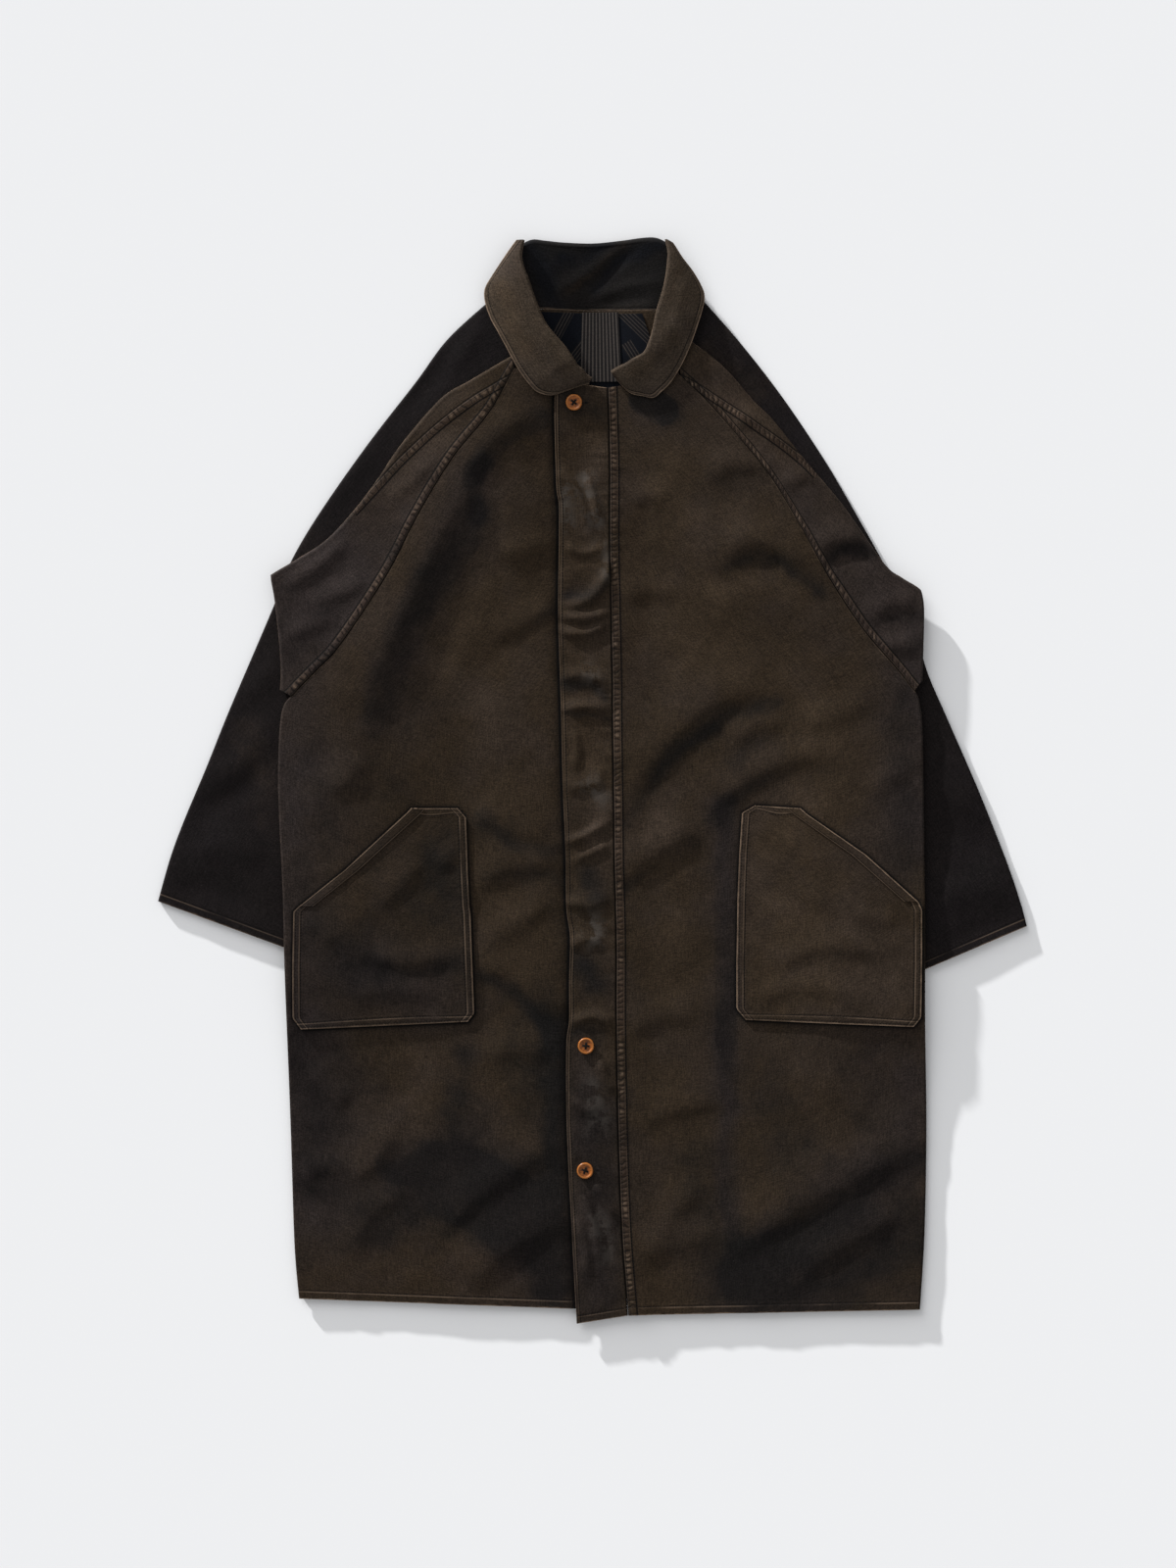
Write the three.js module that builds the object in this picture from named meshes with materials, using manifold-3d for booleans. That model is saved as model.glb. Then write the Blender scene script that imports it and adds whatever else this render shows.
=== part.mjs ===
// A long raglan overcoat of dark brown waxed cotton, laid flat on its back.
// The sleeves are folded behind the body, so the fronts lie over the back and the back lies over the sleeves.
// Sizes are in millimetres, +Z up. +Y runs from the hem to the collar, and the wearer's left is on +X.
import * as THREE from "three";
import { mergeVertices } from "three/addons/utils/BufferGeometryUtils.js";
import Module from "manifold-3d";

// Cloth thicknesses: shell and lining together, and the single layers
const CLOTH = 2.0;
const PLACKET_CLOTH = 2.2;
const POCKET_CLOTH = 1.8;
const LINING_CLOTH = 1.0;
const TAPE_CLOTH = 0.6;
const BAND_CLOTH = 1.0;

// Spaces between layers that lie on each other, and between pieces at a seam
const SEAM_GAP = 0.3;
const LAYER_GAP = 0.6;
const RAGLAN_GAP = 0.6;
const PLACKET_SEAM_GAP = 0.5;

// Heights of the middle of each cloth above the floor
const FLOOR_LAYER = CLOTH / 2;
const FRONT_REST = 5.6;
const SLEEVE_CROWN = 6.4;
const SLEEVE_EDGE = 5.0;
const BACK_LIFT = 8.4;
const CAP_RETURN = 9.0;

// Fastenings
const BUTTON_DIAMETER = 17.8;
const BUTTON_THICKNESS = 3.2;
const BUTTON_RIM = 2.2;
const THREAD_HOLE_DIAMETER = 1.9;
const THREAD_HOLE_SPACING = 3.4;

// Width of the band at a pocket's mouth, measured level across the slanted edge
const POCKET_BAND_WIDTH = 15;

const MATERIALS = {
  shell: { color: 0x2b231c, roughness: 0.78, metalness: 0 },
  lining: { color: 0x14161c, roughness: 0.85, metalness: 0 },
  button: { color: 0xb5622a, roughness: 0.35, metalness: 0 },
};

// Where a sleeve's inner edge lies under the body. Columns: y, distance from the middle of the coat.
const SLEEVE_INNER_RIGHT = [
  [540, 64], [462, 72], [392, 110], [338, 138], [267, 174], [192, 217], [150, 246],
  [111, 270], [76, 282], [12, 291], [-36, 295], [-94, 299], [-142, 303], [-191, 306],
];
const SLEEVE_INNER_LEFT = [
  [540, 66], [462, 74], [392, 114], [333, 149], [267, 186], [208, 228], [166, 255],
  [111, 284], [70, 298], [12, 306], [-57, 313], [-131, 319], [-184, 316], [-225, 312],
];
const SLEEVE_MARGIN = 8;
const LIFT_SLOPE = 150;
const CUFF_SLOPE = 150;

// Soft folds of the fronts. Columns: x and y of one end, x and y of the other, half width, height.
const FOLDS = [
  [-150, 345, -255, 105, 42, 1.6],
  [-75, 290, -165, 95, 46, 1.3],
  [150, 205, 215, 205, 46, 1.6],
  [110, 278, 235, 282, 46, 1.2],
  [60, 72, 170, 92, 46, 1.2],
  [64, -60, 135, -10, 44, 1.4],
  [-290, 40, -240, -10, 48, 1.0],
  [300, 30, 330, -40, 48, 1.0],
  [-60, -235, -165, -180, 46, 1.2],
  [-60, -330, -200, -390, 50, 1.4],
  [-70, -520, -190, -440, 48, 1.6],
  [80, -330, 115, -450, 46, 1.3],
  [215, -440, 340, -370, 48, 1.3],
  [200, -540, 330, -500, 50, 1.2],
];

function smooth(from, to, value) {
  return THREE.MathUtils.smoothstep(value, from, to);
}

// Value of the second column where the first column, which falls, has the given value
function lookUp(table, key) {
  if (key >= table[0][0]) return table[0][1];
  for (let i = 1; i < table.length; i++) {
    const [y, x] = table[i];
    const [yBefore, xBefore] = table[i - 1];
    if (key >= y) return x + ((xBefore - x) * (key - y)) / (yBefore - y);
  }
  return table[table.length - 1][1];
}

// How far the body is lifted by the sleeve that lies behind it
function lift(x, y) {
  const inner = x < 0 ? SLEEVE_INNER_RIGHT : SLEEVE_INNER_LEFT;
  const edge = lookUp(inner, y) - SLEEVE_MARGIN;
  const cuff = inner[inner.length - 1][0] - SLEEVE_MARGIN;
  const slope = Math.min(LIFT_SLOPE, edge - 4);
  return BACK_LIFT * smooth(edge - slope, edge, Math.abs(x)) * smooth(cuff - CUFF_SLOPE, cuff, y);
}

// Height that one fold adds at a point: a soft ridge along a line, fading past its ends
function foldHeight([x0, y0, x1, y1, halfWidth, height], x, y) {
  const alongX = x1 - x0;
  const alongY = y1 - y0;
  const share = ((x - x0) * alongX + (y - y0) * alongY) / (alongX * alongX + alongY * alongY);
  const nearest = THREE.MathUtils.clamp(share, 0, 1);
  const away = Math.hypot(x - x0 - nearest * alongX, y - y0 - nearest * alongY);
  return height * Math.exp(-((away / halfWidth) ** 2));
}

// Height of the placket's cloth over that of the front which it lies on
const PLACKET_RISE = CLOTH / 2 + LAYER_GAP + PLACKET_CLOTH / 2;
const RISE_WIDTH = 45;

function backHeight(x, y) {
  return FLOOR_LAYER + lift(x, y);
}

function frontHeight(x, y) {
  let height = FRONT_REST + lift(x, y);
  for (const fold of FOLDS) height += foldHeight(fold, x, y);
  return height;
}

// Point of a smooth curve through one pair of columns of a table, at a row number that may be a fraction
function curvePoint(table, column, row) {
  const last = table.length - 1;
  const i = Math.min(Math.floor(row), last - 1);
  const t = row - i;
  const at = (k) => {
    const entry = table[THREE.MathUtils.clamp(k, 0, last)];
    return entry.slice(column, column + 2);
  };
  const [before, from, to, after] = [at(i - 1), at(i), at(i + 1), at(i + 2)];
  return from.map((value, axis) => {
    const startSlope = (to[axis] - before[axis]) / 2;
    const endSlope = (after[axis] - value) / 2;
    const t2 = t * t;
    const t3 = t2 * t;
    return (
      (2 * t3 - 3 * t2 + 1) * value +
      (t3 - 2 * t2 + t) * startSlope +
      (3 * t2 - 2 * t3) * to[axis] +
      (t3 - t2) * endSlope
    );
  });
}

// One column of a table at a row number that may be a fraction
function columnAt(table, column, row) {
  const i = Math.min(Math.floor(row), table.length - 2);
  return THREE.MathUtils.lerp(table[i][column], table[i + 1][column], row - i);
}

// Row numbers of a section table, with rows added so that no two are further apart than the spacing
function rowNumbers(table, spacing) {
  const numbers = [0];
  for (let i = 1; i < table.length; i++) {
    const [startX, startY, endX, endY] = table[i].map((value, column) => value - table[i - 1][column]);
    const steps = Math.ceil(Math.max(Math.hypot(startX, startY), Math.hypot(endX, endY)) / spacing);
    for (let k = 1; k <= steps; k++) numbers.push(i - 1 + k / steps);
  }
  return numbers;
}

// Rows ruled between the two edges of a section table: the first two columns are one edge, the next two the other.
function ruledRows(table, rows, endPoint = (row) => curvePoint(table, 2, row)) {
  return rows.map((row) => {
    const [startX, startY] = curvePoint(table, 0, row);
    const [endX, endY] = endPoint(row);
    const width = Math.hypot(endX - startX, endY - startY);
    return {
      row,
      width,
      place: (distance) => {
        const share = distance / width;
        return [startX + share * (endX - startX), startY + share * (endY - startY)];
      },
    };
  });
}

// Middle surface of a flat-lying panel. An edge given a seam height rolls over to it in a quarter round,
// not at all above the armpit and fully below it.
function panelSurface({ table, rows, endPoint, across, height, armpitRow, startSeam, endSeam }) {
  const ROLL_ANGLES = [0, 40, 90].map(THREE.MathUtils.degToRad);
  return ruledRows(table, rows, endPoint).map(({ row, width, place }) => {
    const points = [];
    const add = (distance, drop) => {
      const [x, y] = place(distance);
      points.push(new THREE.Vector3(x, y, height(x, y) - drop));
    };
    // The edge's own points: a straight end of the cloth at the seam, then the quarter round up to the flat
    const rolled = (edge, seam, inward) => {
      if (!seam) return { reach: 0, ring: [] };
      const drop = (height(...place(edge)) - seam(...place(edge))) * smooth(armpitRow - 1, armpitRow, row);
      const straight = Math.sign(drop) * Math.min(Math.abs(drop) / 2, SEAM_STRAIGHT);
      const round = drop - straight;
      const reach = Math.max(Math.abs(round), 0.8);
      const ring = ROLL_ANGLES.slice(0, -1).map((angle) => [
        edge + inward * reach * (1 - Math.cos(angle)),
        round * (1 - Math.sin(angle)),
      ]);
      return { reach, ring: [[edge, drop], ...ring] };
    };
    const start = rolled(0, startSeam, 1);
    const end = rolled(width, endSeam, -1);
    start.ring.forEach(([distance, drop]) => add(distance, drop));
    const inside = width - start.reach - end.reach;
    for (let i = 0; i <= across; i++) add(start.reach + (inside * i) / across, 0);
    end.ring.reverse().forEach(([distance, drop]) => add(distance, drop));
    return points;
  });
}

// Length of cloth that stands straight at a side seam
const SEAM_STRAIGHT = 0.7;

// Middle surface of a panel whose first edge is folded over: an under layer, a half round, then the top layer
function foldedSurface({ table, rows, endPoint, across, underSteps, underLength, top, under }) {
  const ROUND_STEPS = 4;
  return ruledRows(table, rows, endPoint).map(({ row, width, place }) => {
    const [edgeX, edgeY] = place(0);
    const edgeTop = top(edgeX, edgeY, 0, row);
    const edgeUnder = under(edgeX, edgeY, 0, row);
    const radius = Math.min((edgeTop - edgeUnder) / 2, 0.4 * width);
    const reach = Math.max(radius * 1.25, Math.min(underLength, 0.55 * width));
    const points = [];
    for (let i = underSteps; i > 0; i--) {
      const distance = radius + ((reach - radius) * i) / underSteps;
      const [x, y] = place(distance);
      points.push(new THREE.Vector3(x, y, under(x, y, distance / width, row)));
    }
    for (let i = 0; i <= ROUND_STEPS; i++) {
      const angle = Math.PI * (i / ROUND_STEPS - 0.5);
      const [x, y] = place(radius * (1 - Math.cos(angle)));
      const share = (1 + Math.sin(angle)) / 2;
      points.push(new THREE.Vector3(x, y, edgeUnder + (edgeTop - edgeUnder) * share));
    }
    for (let i = 1; i <= across; i++) {
      const distance = radius + ((width - radius) * i) / across;
      const [x, y] = place(distance);
      points.push(new THREE.Vector3(x, y, top(x, y, distance / width, row)));
    }
    return points;
  });
}

// Middle surface of a flattened tube: rings that go over the top, round one edge and back along the floor
function tubeSurface({ table, rows, across, crown }) {
  const ROUND_STEPS = 3;
  return ruledRows(table, rows).map(({ row, width, place }) => {
    const radius = (SLEEVE_EDGE - FLOOR_LAYER) / 2;
    const points = [];
    const add = (distance, z) => points.push(new THREE.Vector3(...place(distance), z));
    for (let i = 0; i <= across; i++) {
      const share = i / across;
      add(radius + (width - 2 * radius) * share, SLEEVE_EDGE + crown(row) * Math.sin(Math.PI * share));
    }
    for (let i = 1; i < ROUND_STEPS; i++) {
      const angle = Math.PI * (0.5 - i / ROUND_STEPS);
      add(width - radius + radius * Math.cos(angle), FLOOR_LAYER + radius * (1 + Math.sin(angle)));
    }
    for (let i = 0; i <= across; i++) add(width - radius - ((width - 2 * radius) * i) / across, FLOOR_LAYER);
    for (let i = 1; i < ROUND_STEPS; i++) {
      const angle = Math.PI * (-0.5 - i / ROUND_STEPS);
      add(radius + radius * Math.cos(angle), FLOOR_LAYER + radius * (1 + Math.sin(angle)));
    }
    return points;
  });
}

// Gives a middle surface its thickness. Rows that close on themselves make a tube.
function clothSolid(rows, thickness, closed = false) {
  const rowCount = rows.length;
  const columnCount = rows[0].length;
  const columnAfter = (j) => (closed ? (j + 1) % columnCount : Math.min(j + 1, columnCount - 1));
  const columnBefore = (j) => (closed ? (j + columnCount - 1) % columnCount : Math.max(j - 1, 0));
  const outside = [];
  const inside = [];
  rows.forEach((row, i) => {
    row.forEach((point, j) => {
      const downRows = rows[Math.min(i + 1, rowCount - 1)][j].clone().sub(rows[Math.max(i - 1, 0)][j]);
      const acrossRow = row[columnAfter(j)].clone().sub(row[columnBefore(j)]);
      const normal = downRows.cross(acrossRow).normalize();
      outside.push(point.clone().addScaledVector(normal, thickness / 2));
      inside.push(point.clone().addScaledVector(normal, -thickness / 2));
    });
  });
  const triangles = [];
  const inner = outside.length;
  const quad = (a, b, c, d) => triangles.push(a, b, c, a, c, d);
  const at = (i, j) => i * columnCount + j;
  const lastColumn = closed ? columnCount : columnCount - 1;
  for (let i = 0; i < rowCount - 1; i++) {
    for (let j = 0; j < lastColumn; j++) {
      const k = closed ? (j + 1) % columnCount : j + 1;
      quad(at(i, j), at(i + 1, j), at(i + 1, k), at(i, k));
      quad(inner + at(i, k), inner + at(i + 1, k), inner + at(i + 1, j), inner + at(i, j));
    }
  }
  for (let j = 0; j < lastColumn; j++) {
    const k = closed ? (j + 1) % columnCount : j + 1;
    quad(at(0, k), inner + at(0, k), inner + at(0, j), at(0, j));
    const end = rowCount - 1;
    quad(at(end, j), inner + at(end, j), inner + at(end, k), at(end, k));
  }
  if (!closed) {
    const side = columnCount - 1;
    for (let i = 0; i < rowCount - 1; i++) {
      quad(at(i, 0), inner + at(i, 0), inner + at(i + 1, 0), at(i + 1, 0));
      quad(at(i + 1, side), inner + at(i + 1, side), inner + at(i, side), at(i, side));
    }
  }
  const geometry = new THREE.BufferGeometry().setFromPoints([...outside, ...inside]);
  geometry.setIndex(triangles);
  return geometry;
}

const coat = new THREE.Group();

function addPiece(name, geometry, material) {
  const mesh = new THREE.Mesh(geometry, new THREE.MeshStandardMaterial(MATERIALS[material]));
  mesh.name = name;
  coat.add(mesh);
  return mesh;
}

// Fronts. Columns: raglan or side seam x, y, then centre edge x, y. The armpit is the ninth row.
const FRONT_RIGHT_SECTIONS = [
  [-85, 446, 10, 426],
  [-112, 397, 13, 378],
  [-152, 347, 14, 325],
  [-191, 282, 15, 267],
  [-222, 222, 15, 208],
  [-272, 147, 16, 139],
  [-300, 117, 17, 110],
  [-320, 96, 17, 90],
  [-335, 74, 17, 65],
  [-339, 13, 19, 7],
  [-338, -36, 19, -41],
  [-334, -122, 21, -126],
  [-332, -207, 22, -210],
  [-326, -380, 24, -382],
  [-322, -502, 29, -505],
  [-317, -561, 34, -574],
];
const FRONT_LEFT_SECTIONS = [
  [95, 438, 17, 425],
  [126, 408, 18, 388],
  [160, 369, 19, 346],
  [195, 325, 19, 304],
  [228, 269, 19, 251],
  [257, 217, 20, 203],
  [292, 164, 21, 150],
  [339, 108, 22, 102],
  [354, 79, 22, 74],
  [357, 7, 23, -4],
  [358, -78, 24, -89],
  [359, -168, 26, -173],
  [359, -258, 26, -258],
  [361, -374, 28, -375],
  [359, -489, 32, -487],
  [354, -573, 39, -579],
];

// Back. Its raglan and side edges are those of the fronts below a first row at the neck.
// Columns: wearer's right edge x, y, wearer's left edge x, y.
const BACK_NECK = [-64, 510, 73, 508];
const BACK_SECTIONS = [
  BACK_NECK,
  ...FRONT_RIGHT_SECTIONS.map(([x, y], row) => [x, y, ...FRONT_LEFT_SECTIONS[row].slice(0, 2)]),
];
const HEM_SHORTENING = 5;
BACK_SECTIONS.at(-1)[1] += HEM_SHORTENING;
BACK_SECTIONS.at(-1)[3] += HEM_SHORTENING;

// Rows that the back and both fronts share, so that they meet along the side seams
const BODY_SPACING = 38;
const BACK_ROWS = rowNumbers(BACK_SECTIONS, BODY_SPACING);
const FRONT_ROWS = BACK_ROWS.filter((row) => row >= 1).map((row) => row - 1);
const ARMPIT_ROW = 8;

const sideSeamFront = (x, y) => (frontHeight(x, y) + backHeight(x, y) + SEAM_GAP) / 2;
const sideSeamBack = (x, y) => (frontHeight(x, y) + backHeight(x, y) - SEAM_GAP) / 2;

function addBack() {
  const surface = panelSurface({
    table: BACK_SECTIONS,
    rows: BACK_ROWS,
    across: 10,
    height: backHeight,
    armpitRow: ARMPIT_ROW + 1,
    startSeam: sideSeamBack,
    endSeam: sideSeamBack,
  });
  addPiece("back", clothSolid(surface, CLOTH), "shell");
}

// Wearer's left front, level with the placket along the seam between them
function frontLeftHeight(x, y) {
  const seam = lookUp(FRONT_LEFT_SECTIONS.map(([, , seamX, seamY]) => [seamY, seamX]), y);
  return frontHeight(x, y) + PLACKET_RISE * (1 - smooth(0, RISE_WIDTH, x - seam));
}

function addFront(name, table, height) {
  const surface = panelSurface({
    table,
    rows: FRONT_ROWS,
    across: 11,
    height,
    armpitRow: ARMPIT_ROW,
    startSeam: sideSeamFront,
  });
  addPiece(name, clothSolid(surface, CLOTH), "shell");
}

// Sleeves, flattened tubes from the neck to the cuff. Columns: outer edge x, y, inner edge x, y.
const SLEEVE_RIGHT_SECTIONS = [
  [-108, 522, -72, 462],
  [-156, 478, -112, 392],
  [-191, 431, -138, 338],
  [-242, 365, -174, 267],
  [-296, 288, -217, 192],
  [-327, 235, -246, 150],
  [-343, 193, -270, 111],
  [-359, 155, -282, 76],
  [-394, 73, -291, 12],
  [-418, 13, -295, -36],
  [-442, -44, -299, -94],
  [-457, -85, -303, -142],
  [-470, -131, -306, -191],
];
const SLEEVE_LEFT_SECTIONS = [
  [114, 526, 74, 462],
  [161, 472, 116, 392],
  [206, 414, 149, 333],
  [252, 345, 186, 267],
  [292, 276, 228, 208],
  [316, 233, 255, 166],
  [345, 176, 284, 111],
  [362, 118, 298, 70],
  [385, 64, 306, 12],
  [416, -7, 313, -57],
  [447, -85, 319, -131],
  [463, -132, 316, -184],
  [470, -158, 312, -225],
];

function addSleeve(name, table) {
  const last = table.length - 1;
  const crown = (row) => (SLEEVE_CROWN - SLEEVE_EDGE) * (0.6 + 0.4 * Math.sin((Math.PI * row) / last));
  const surface = tubeSurface({ table, rows: rowNumbers(table, 70), across: 3, crown });
  addPiece(name, clothSolid(surface, CLOTH, true), "shell");
}

// Sleeve fronts over the shoulder, between the folded edge and the raglan seam, from the neck to the armpit.
// Columns: folded edge x, y, then the row of the front's section table that it is sewn to.
const SLEEVE_FRONT_RIGHT_SECTIONS = [
  [-88, 458, 0],
  [-132, 432, 1],
  [-164, 412, 1.5],
  [-207, 362, 2.45],
  [-232, 325, 3],
  [-257, 292, 3.55],
  [-287, 260, 4],
  [-317, 240, 4.4],
  [-344, 224, 4.6],
  [-347, 219, 4.68],
  [-343, 195, 5],
  [-338, 150, 5.9],
  [-336, 118, 6.9],
  [-337, 98, 7.3],
];
const SLEEVE_FRONT_LEFT_SECTIONS = [
  [92, 484, 0],
  [126, 460, 1],
  [149, 439, 1.68],
  [172, 412, 2.33],
  [195, 389, 3],
  [227, 349, 3.68],
  [264, 305, 4.45],
  [282, 281, 5],
  [316, 233, 5.52],
  [334, 219, 6],
  [352, 208, 6.3],
  [356, 201, 6.38],
  [358, 182, 6.66],
  [357, 139, 7],
  [356, 108, 7.4],
];

function addSleeveFront(name, folds, frontTable) {
  const seamPoint = (row) => {
    const [foldX, foldY] = curvePoint(folds, 0, row);
    const [seamX, seamY] = curvePoint(frontTable, 0, columnAt(folds, 2, row));
    const share = RAGLAN_GAP / Math.hypot(foldX - seamX, foldY - seamY);
    return [seamX + share * (foldX - seamX), seamY + share * (foldY - seamY)];
  };
  const table = folds.map(([x, y], row) => [x, y, ...seamPoint(row)]);
  const surface = foldedSurface({
    table,
    rows: rowNumbers(table, 32),
    endPoint: seamPoint,
    across: 4,
    underSteps: 1,
    underLength: 18,
    top: frontHeight,
    under: (x, y) => Math.max(CAP_RETURN, frontHeight(x, y) - 5.4),
  });
  addPiece(name, clothSolid(surface, CLOTH), "shell");
}

// Placket, sewn to the wearer's left front and lying over the right.
// Columns: free edge x, y, then the row of the left front's section table that it is sewn to.
const PLACKET_SECTIONS = [
  [-40, 433, 0],
  [-41, 398, 0.73],
  [-39, 320, 2.62],
  [-36, 290, 3.26],
  [-37, 189, 5.26],
  [-36, 143, 6.15],
  [-34, 81, 7.75],
  [-32, -4, 9],
  [-29, -78, 9.87],
  [-28, -138, 10.58],
  [-24, -170, 10.96],
  [-25, -216, 11.5],
  [-25, -259, 12],
  [-28, -286, 12.24],
  [-28, -356, 12.84],
  [-26, -414, 13.35],
  [-23, -472, 13.87],
  [-20, -531, 14.48],
  [-17, -588, 15],
];
const placketHeight = (x, y) => frontHeight(x, y) + PLACKET_RISE;

function addPlacket() {
  const seamPoint = (row) => {
    const [x, y] = curvePoint(FRONT_LEFT_SECTIONS, 2, columnAt(PLACKET_SECTIONS, 2, row));
    return [x - PLACKET_SEAM_GAP, y];
  };
  const table = PLACKET_SECTIONS.map(([x, y], row) => [x, y, ...seamPoint(row)]);
  const rows = rowNumbers(table, 28);
  const surface = panelSurface({ table, rows, endPoint: seamPoint, across: 3, height: placketHeight });
  addPiece("placket", clothSolid(surface, PLACKET_CLOTH), "shell");
}

// Patch pockets with a slanted mouth. Columns: side edge x, y, centre edge x, y.
const POCKET_RIGHT_SECTIONS = [
  [-196, -30, -146, -30],
  [-201, -35, -137, -40],
  [-268, -97, -135, -98],
  [-317, -136, -133, -137],
  [-323, -142, -132, -144],
  [-324, -200, -130, -198],
  [-324, -257, -128, -252],
  [-315, -269, -135, -261],
];
const POCKET_LEFT_SECTIONS = [
  [225, -30, 176, -27],
  [233, -37, 162, -35],
  [295, -80, 159, -80],
  [352, -131, 157, -131],
  [356, -140, 157, -140],
  [356, -200, 156, -196],
  [355, -256, 156, -247],
  [347, -266, 166, -259],
];
const POCKET_CROWN = 1.0;
const POCKET_MOUTH_ROWS = 3;

// Point on a row of a pocket at a distance from its mouth edge, raised above the middle of its cloth
function pocketPoint({ row, width, place }, lastRow, distance, above) {
  const [x, y] = place(distance);
  const puff = POCKET_CROWN * Math.sin((Math.PI * distance) / width) * Math.sin((Math.PI * row) / lastRow);
  const rest = frontHeight(x, y) + CLOTH / 2 + LAYER_GAP + POCKET_CLOTH / 2;
  return new THREE.Vector3(x, y, rest + puff + above);
}

function addPocket(side, table) {
  const lastRow = table.length - 1;
  const rows = ruledRows(table, rowNumbers(table, 28));
  const columns = Array.from({ length: 10 }, (_, i) => i / 9);
  const pocket = rows.map((line) => columns.map((share) => pocketPoint(line, lastRow, share * line.width, 0)));
  addPiece(`pocket_${side}`, clothSolid(pocket, POCKET_CLOTH), "shell");

  const above = POCKET_CLOTH / 2 + SEAM_GAP + BAND_CLOTH / 2;
  const band = rows
    .filter(({ row }) => row > 0 && row <= POCKET_MOUTH_ROWS)
    .map((line) => [0.8, POCKET_BAND_WIDTH / 2, POCKET_BAND_WIDTH].map((d) => pocketPoint(line, lastRow, d, above)));
  addPiece(`pocket_band_${side}`, clothSolid(band, BAND_CLOTH), "shell");
}

// Turned-down collar leaves. Columns: fold x, y, free edge x, y, then heights at the fold, the free edge and the stand.
const LEAF_RIGHT_SECTIONS = [
  [-74, 584, -82, 584, 21, 20, 15],
  [-77, 567, -94, 567, 22, 15, 14],
  [-74, 553, -108, 546, 23, 12.5, 13],
  [-70, 543, -116, 532, 24, 11.5, 12],
  [-65, 528, -116, 518, 24.5, 11.5, 12],
  [-58, 509, -110, 500, 25, 12.5, 12],
  [-51, 494, -102, 485, 25, 15, 13],
  [-42, 482, -94, 470, 25, 16.4, 15],
  [-29, 467, -81, 446, 24.5, 16.8, 16],
  [-21, 455, -68, 428, 24, 16.0, 15.5],
  [-16, 448, -59, 420, 22, 14.7, 15],
  [-11, 444, -45, 417, 20.5, 13.7, 14],
  [-7, 439, -31, 421, 18.8, 13.1, 13.5],
  [-4, 437, -15, 427, 17.5, 11.7, 12.5],
  [-1, 435, -4, 430, 16.2, 11.6, 11.2],
];
const LEAF_LEFT_SECTIONS = [
  [79, 585, 87, 581, 21, 20, 15],
  [82, 571, 97, 565, 22, 15, 14],
  [81, 555, 108, 551, 23, 12.5, 13],
  [79, 541, 117, 536, 24, 11.5, 12],
  [76, 528, 121, 524, 24.5, 11.5, 12],
  [70, 508, 118, 507, 25, 12.5, 12],
  [65, 485, 109, 479, 25, 16.6, 14],
  [61, 472, 103, 464, 25, 17, 15],
  [56, 462, 96, 449, 24.5, 16.8, 16],
  [48, 457, 85, 431, 24, 16.7, 16],
  [42, 454, 74, 420, 23, 16.0, 15],
  [36, 450, 66, 414, 21.5, 14.9, 14.5],
  [29, 447, 55, 416, 20, 13.8, 14],
  [25, 445, 42, 419, 18.8, 12.9, 13.5],
  [22, 443, 31, 429, 17.8, 12.7, 12.6],
  [20, 442, 24, 437, 17.2, 12.7, 12.2],
];
const LEAF_FOLD_DEPTH = 5;

function addCollarLeaf(name, table) {
  const surface = foldedSurface({
    table,
    rows: rowNumbers(table, 18),
    across: 5,
    underSteps: 2,
    underLength: 26,
    top: (x, y, share, row) => {
      const fold = columnAt(table, 4, row);
      const free = columnAt(table, 5, row);
      return free + (fold - free) * (1 - share * share);
    },
    under: (x, y, share, row) => {
      const fold = columnAt(table, 4, row) - LEAF_FOLD_DEPTH;
      const stand = columnAt(table, 6, row);
      return fold + (Math.min(stand, fold) - fold) * Math.min(share * 2, 1);
    },
  });
  addPiece(name, clothSolid(surface, CLOTH), "shell");
}

// Back of the collar: the stand faces up from the neck seam, and the fall is folded behind it.
// Columns: fold x, y, neck seam x, height of the fold.
const COLLAR_BACK_SECTIONS = [
  [-79, 578, -64, 11.5],
  [-66, 585, -54, 10.5],
  [-51, 584, -42, 9.5],
  [-31, 582, -25, 9],
  [1, 581, 2, 9],
  [32, 584, 29, 9.2],
  [54, 587, 49, 9.8],
  [69, 587, 62, 10.8],
  [82, 581, 72, 11.5],
];
const FALL_LENGTH = 46;

function neckSeamPoint(x) {
  const [rightX, rightY, leftX, leftY] = BACK_NECK;
  return [x, THREE.MathUtils.mapLinear(x, rightX, leftX, rightY, leftY) + SEAM_GAP];
}

function addCollarBack() {
  const table = COLLAR_BACK_SECTIONS;
  const seamPoint = (row) => neckSeamPoint(columnAt(table, 2, row));
  const edges = table.map(([x, y, seamX]) => [x, y, ...neckSeamPoint(seamX)]);
  const surface = foldedSurface({
    table: edges,
    rows: rowNumbers(edges, 14),
    endPoint: seamPoint,
    across: 4,
    underSteps: 2,
    underLength: FALL_LENGTH,
    top: (x, y, share, row) => THREE.MathUtils.lerp(columnAt(table, 3, row), backHeight(...seamPoint(row)), share),
    under: () => FLOOR_LAYER,
  });
  addPiece("collar_back", clothSolid(surface, CLOTH), "shell");
}

// Lining inside the neck, and the striped tape that hangs from the collar seam on it
const NECK_LINING_SECTIONS = [
  [-56, 507, 54, 505],
  [-66, 470, 66, 470],
  [-78, 430, 82, 430],
  [-84, 398, 90, 398],
];
const NECK_TAPE_SECTIONS = [
  [-11, 507, 28, 507],
  [-12, 470, 30, 470],
  [-13, 432, 32, 432],
];

function flatPanel(table, across, height) {
  return panelSurface({ table, rows: rowNumbers(table, 16), across, height });
}

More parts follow.
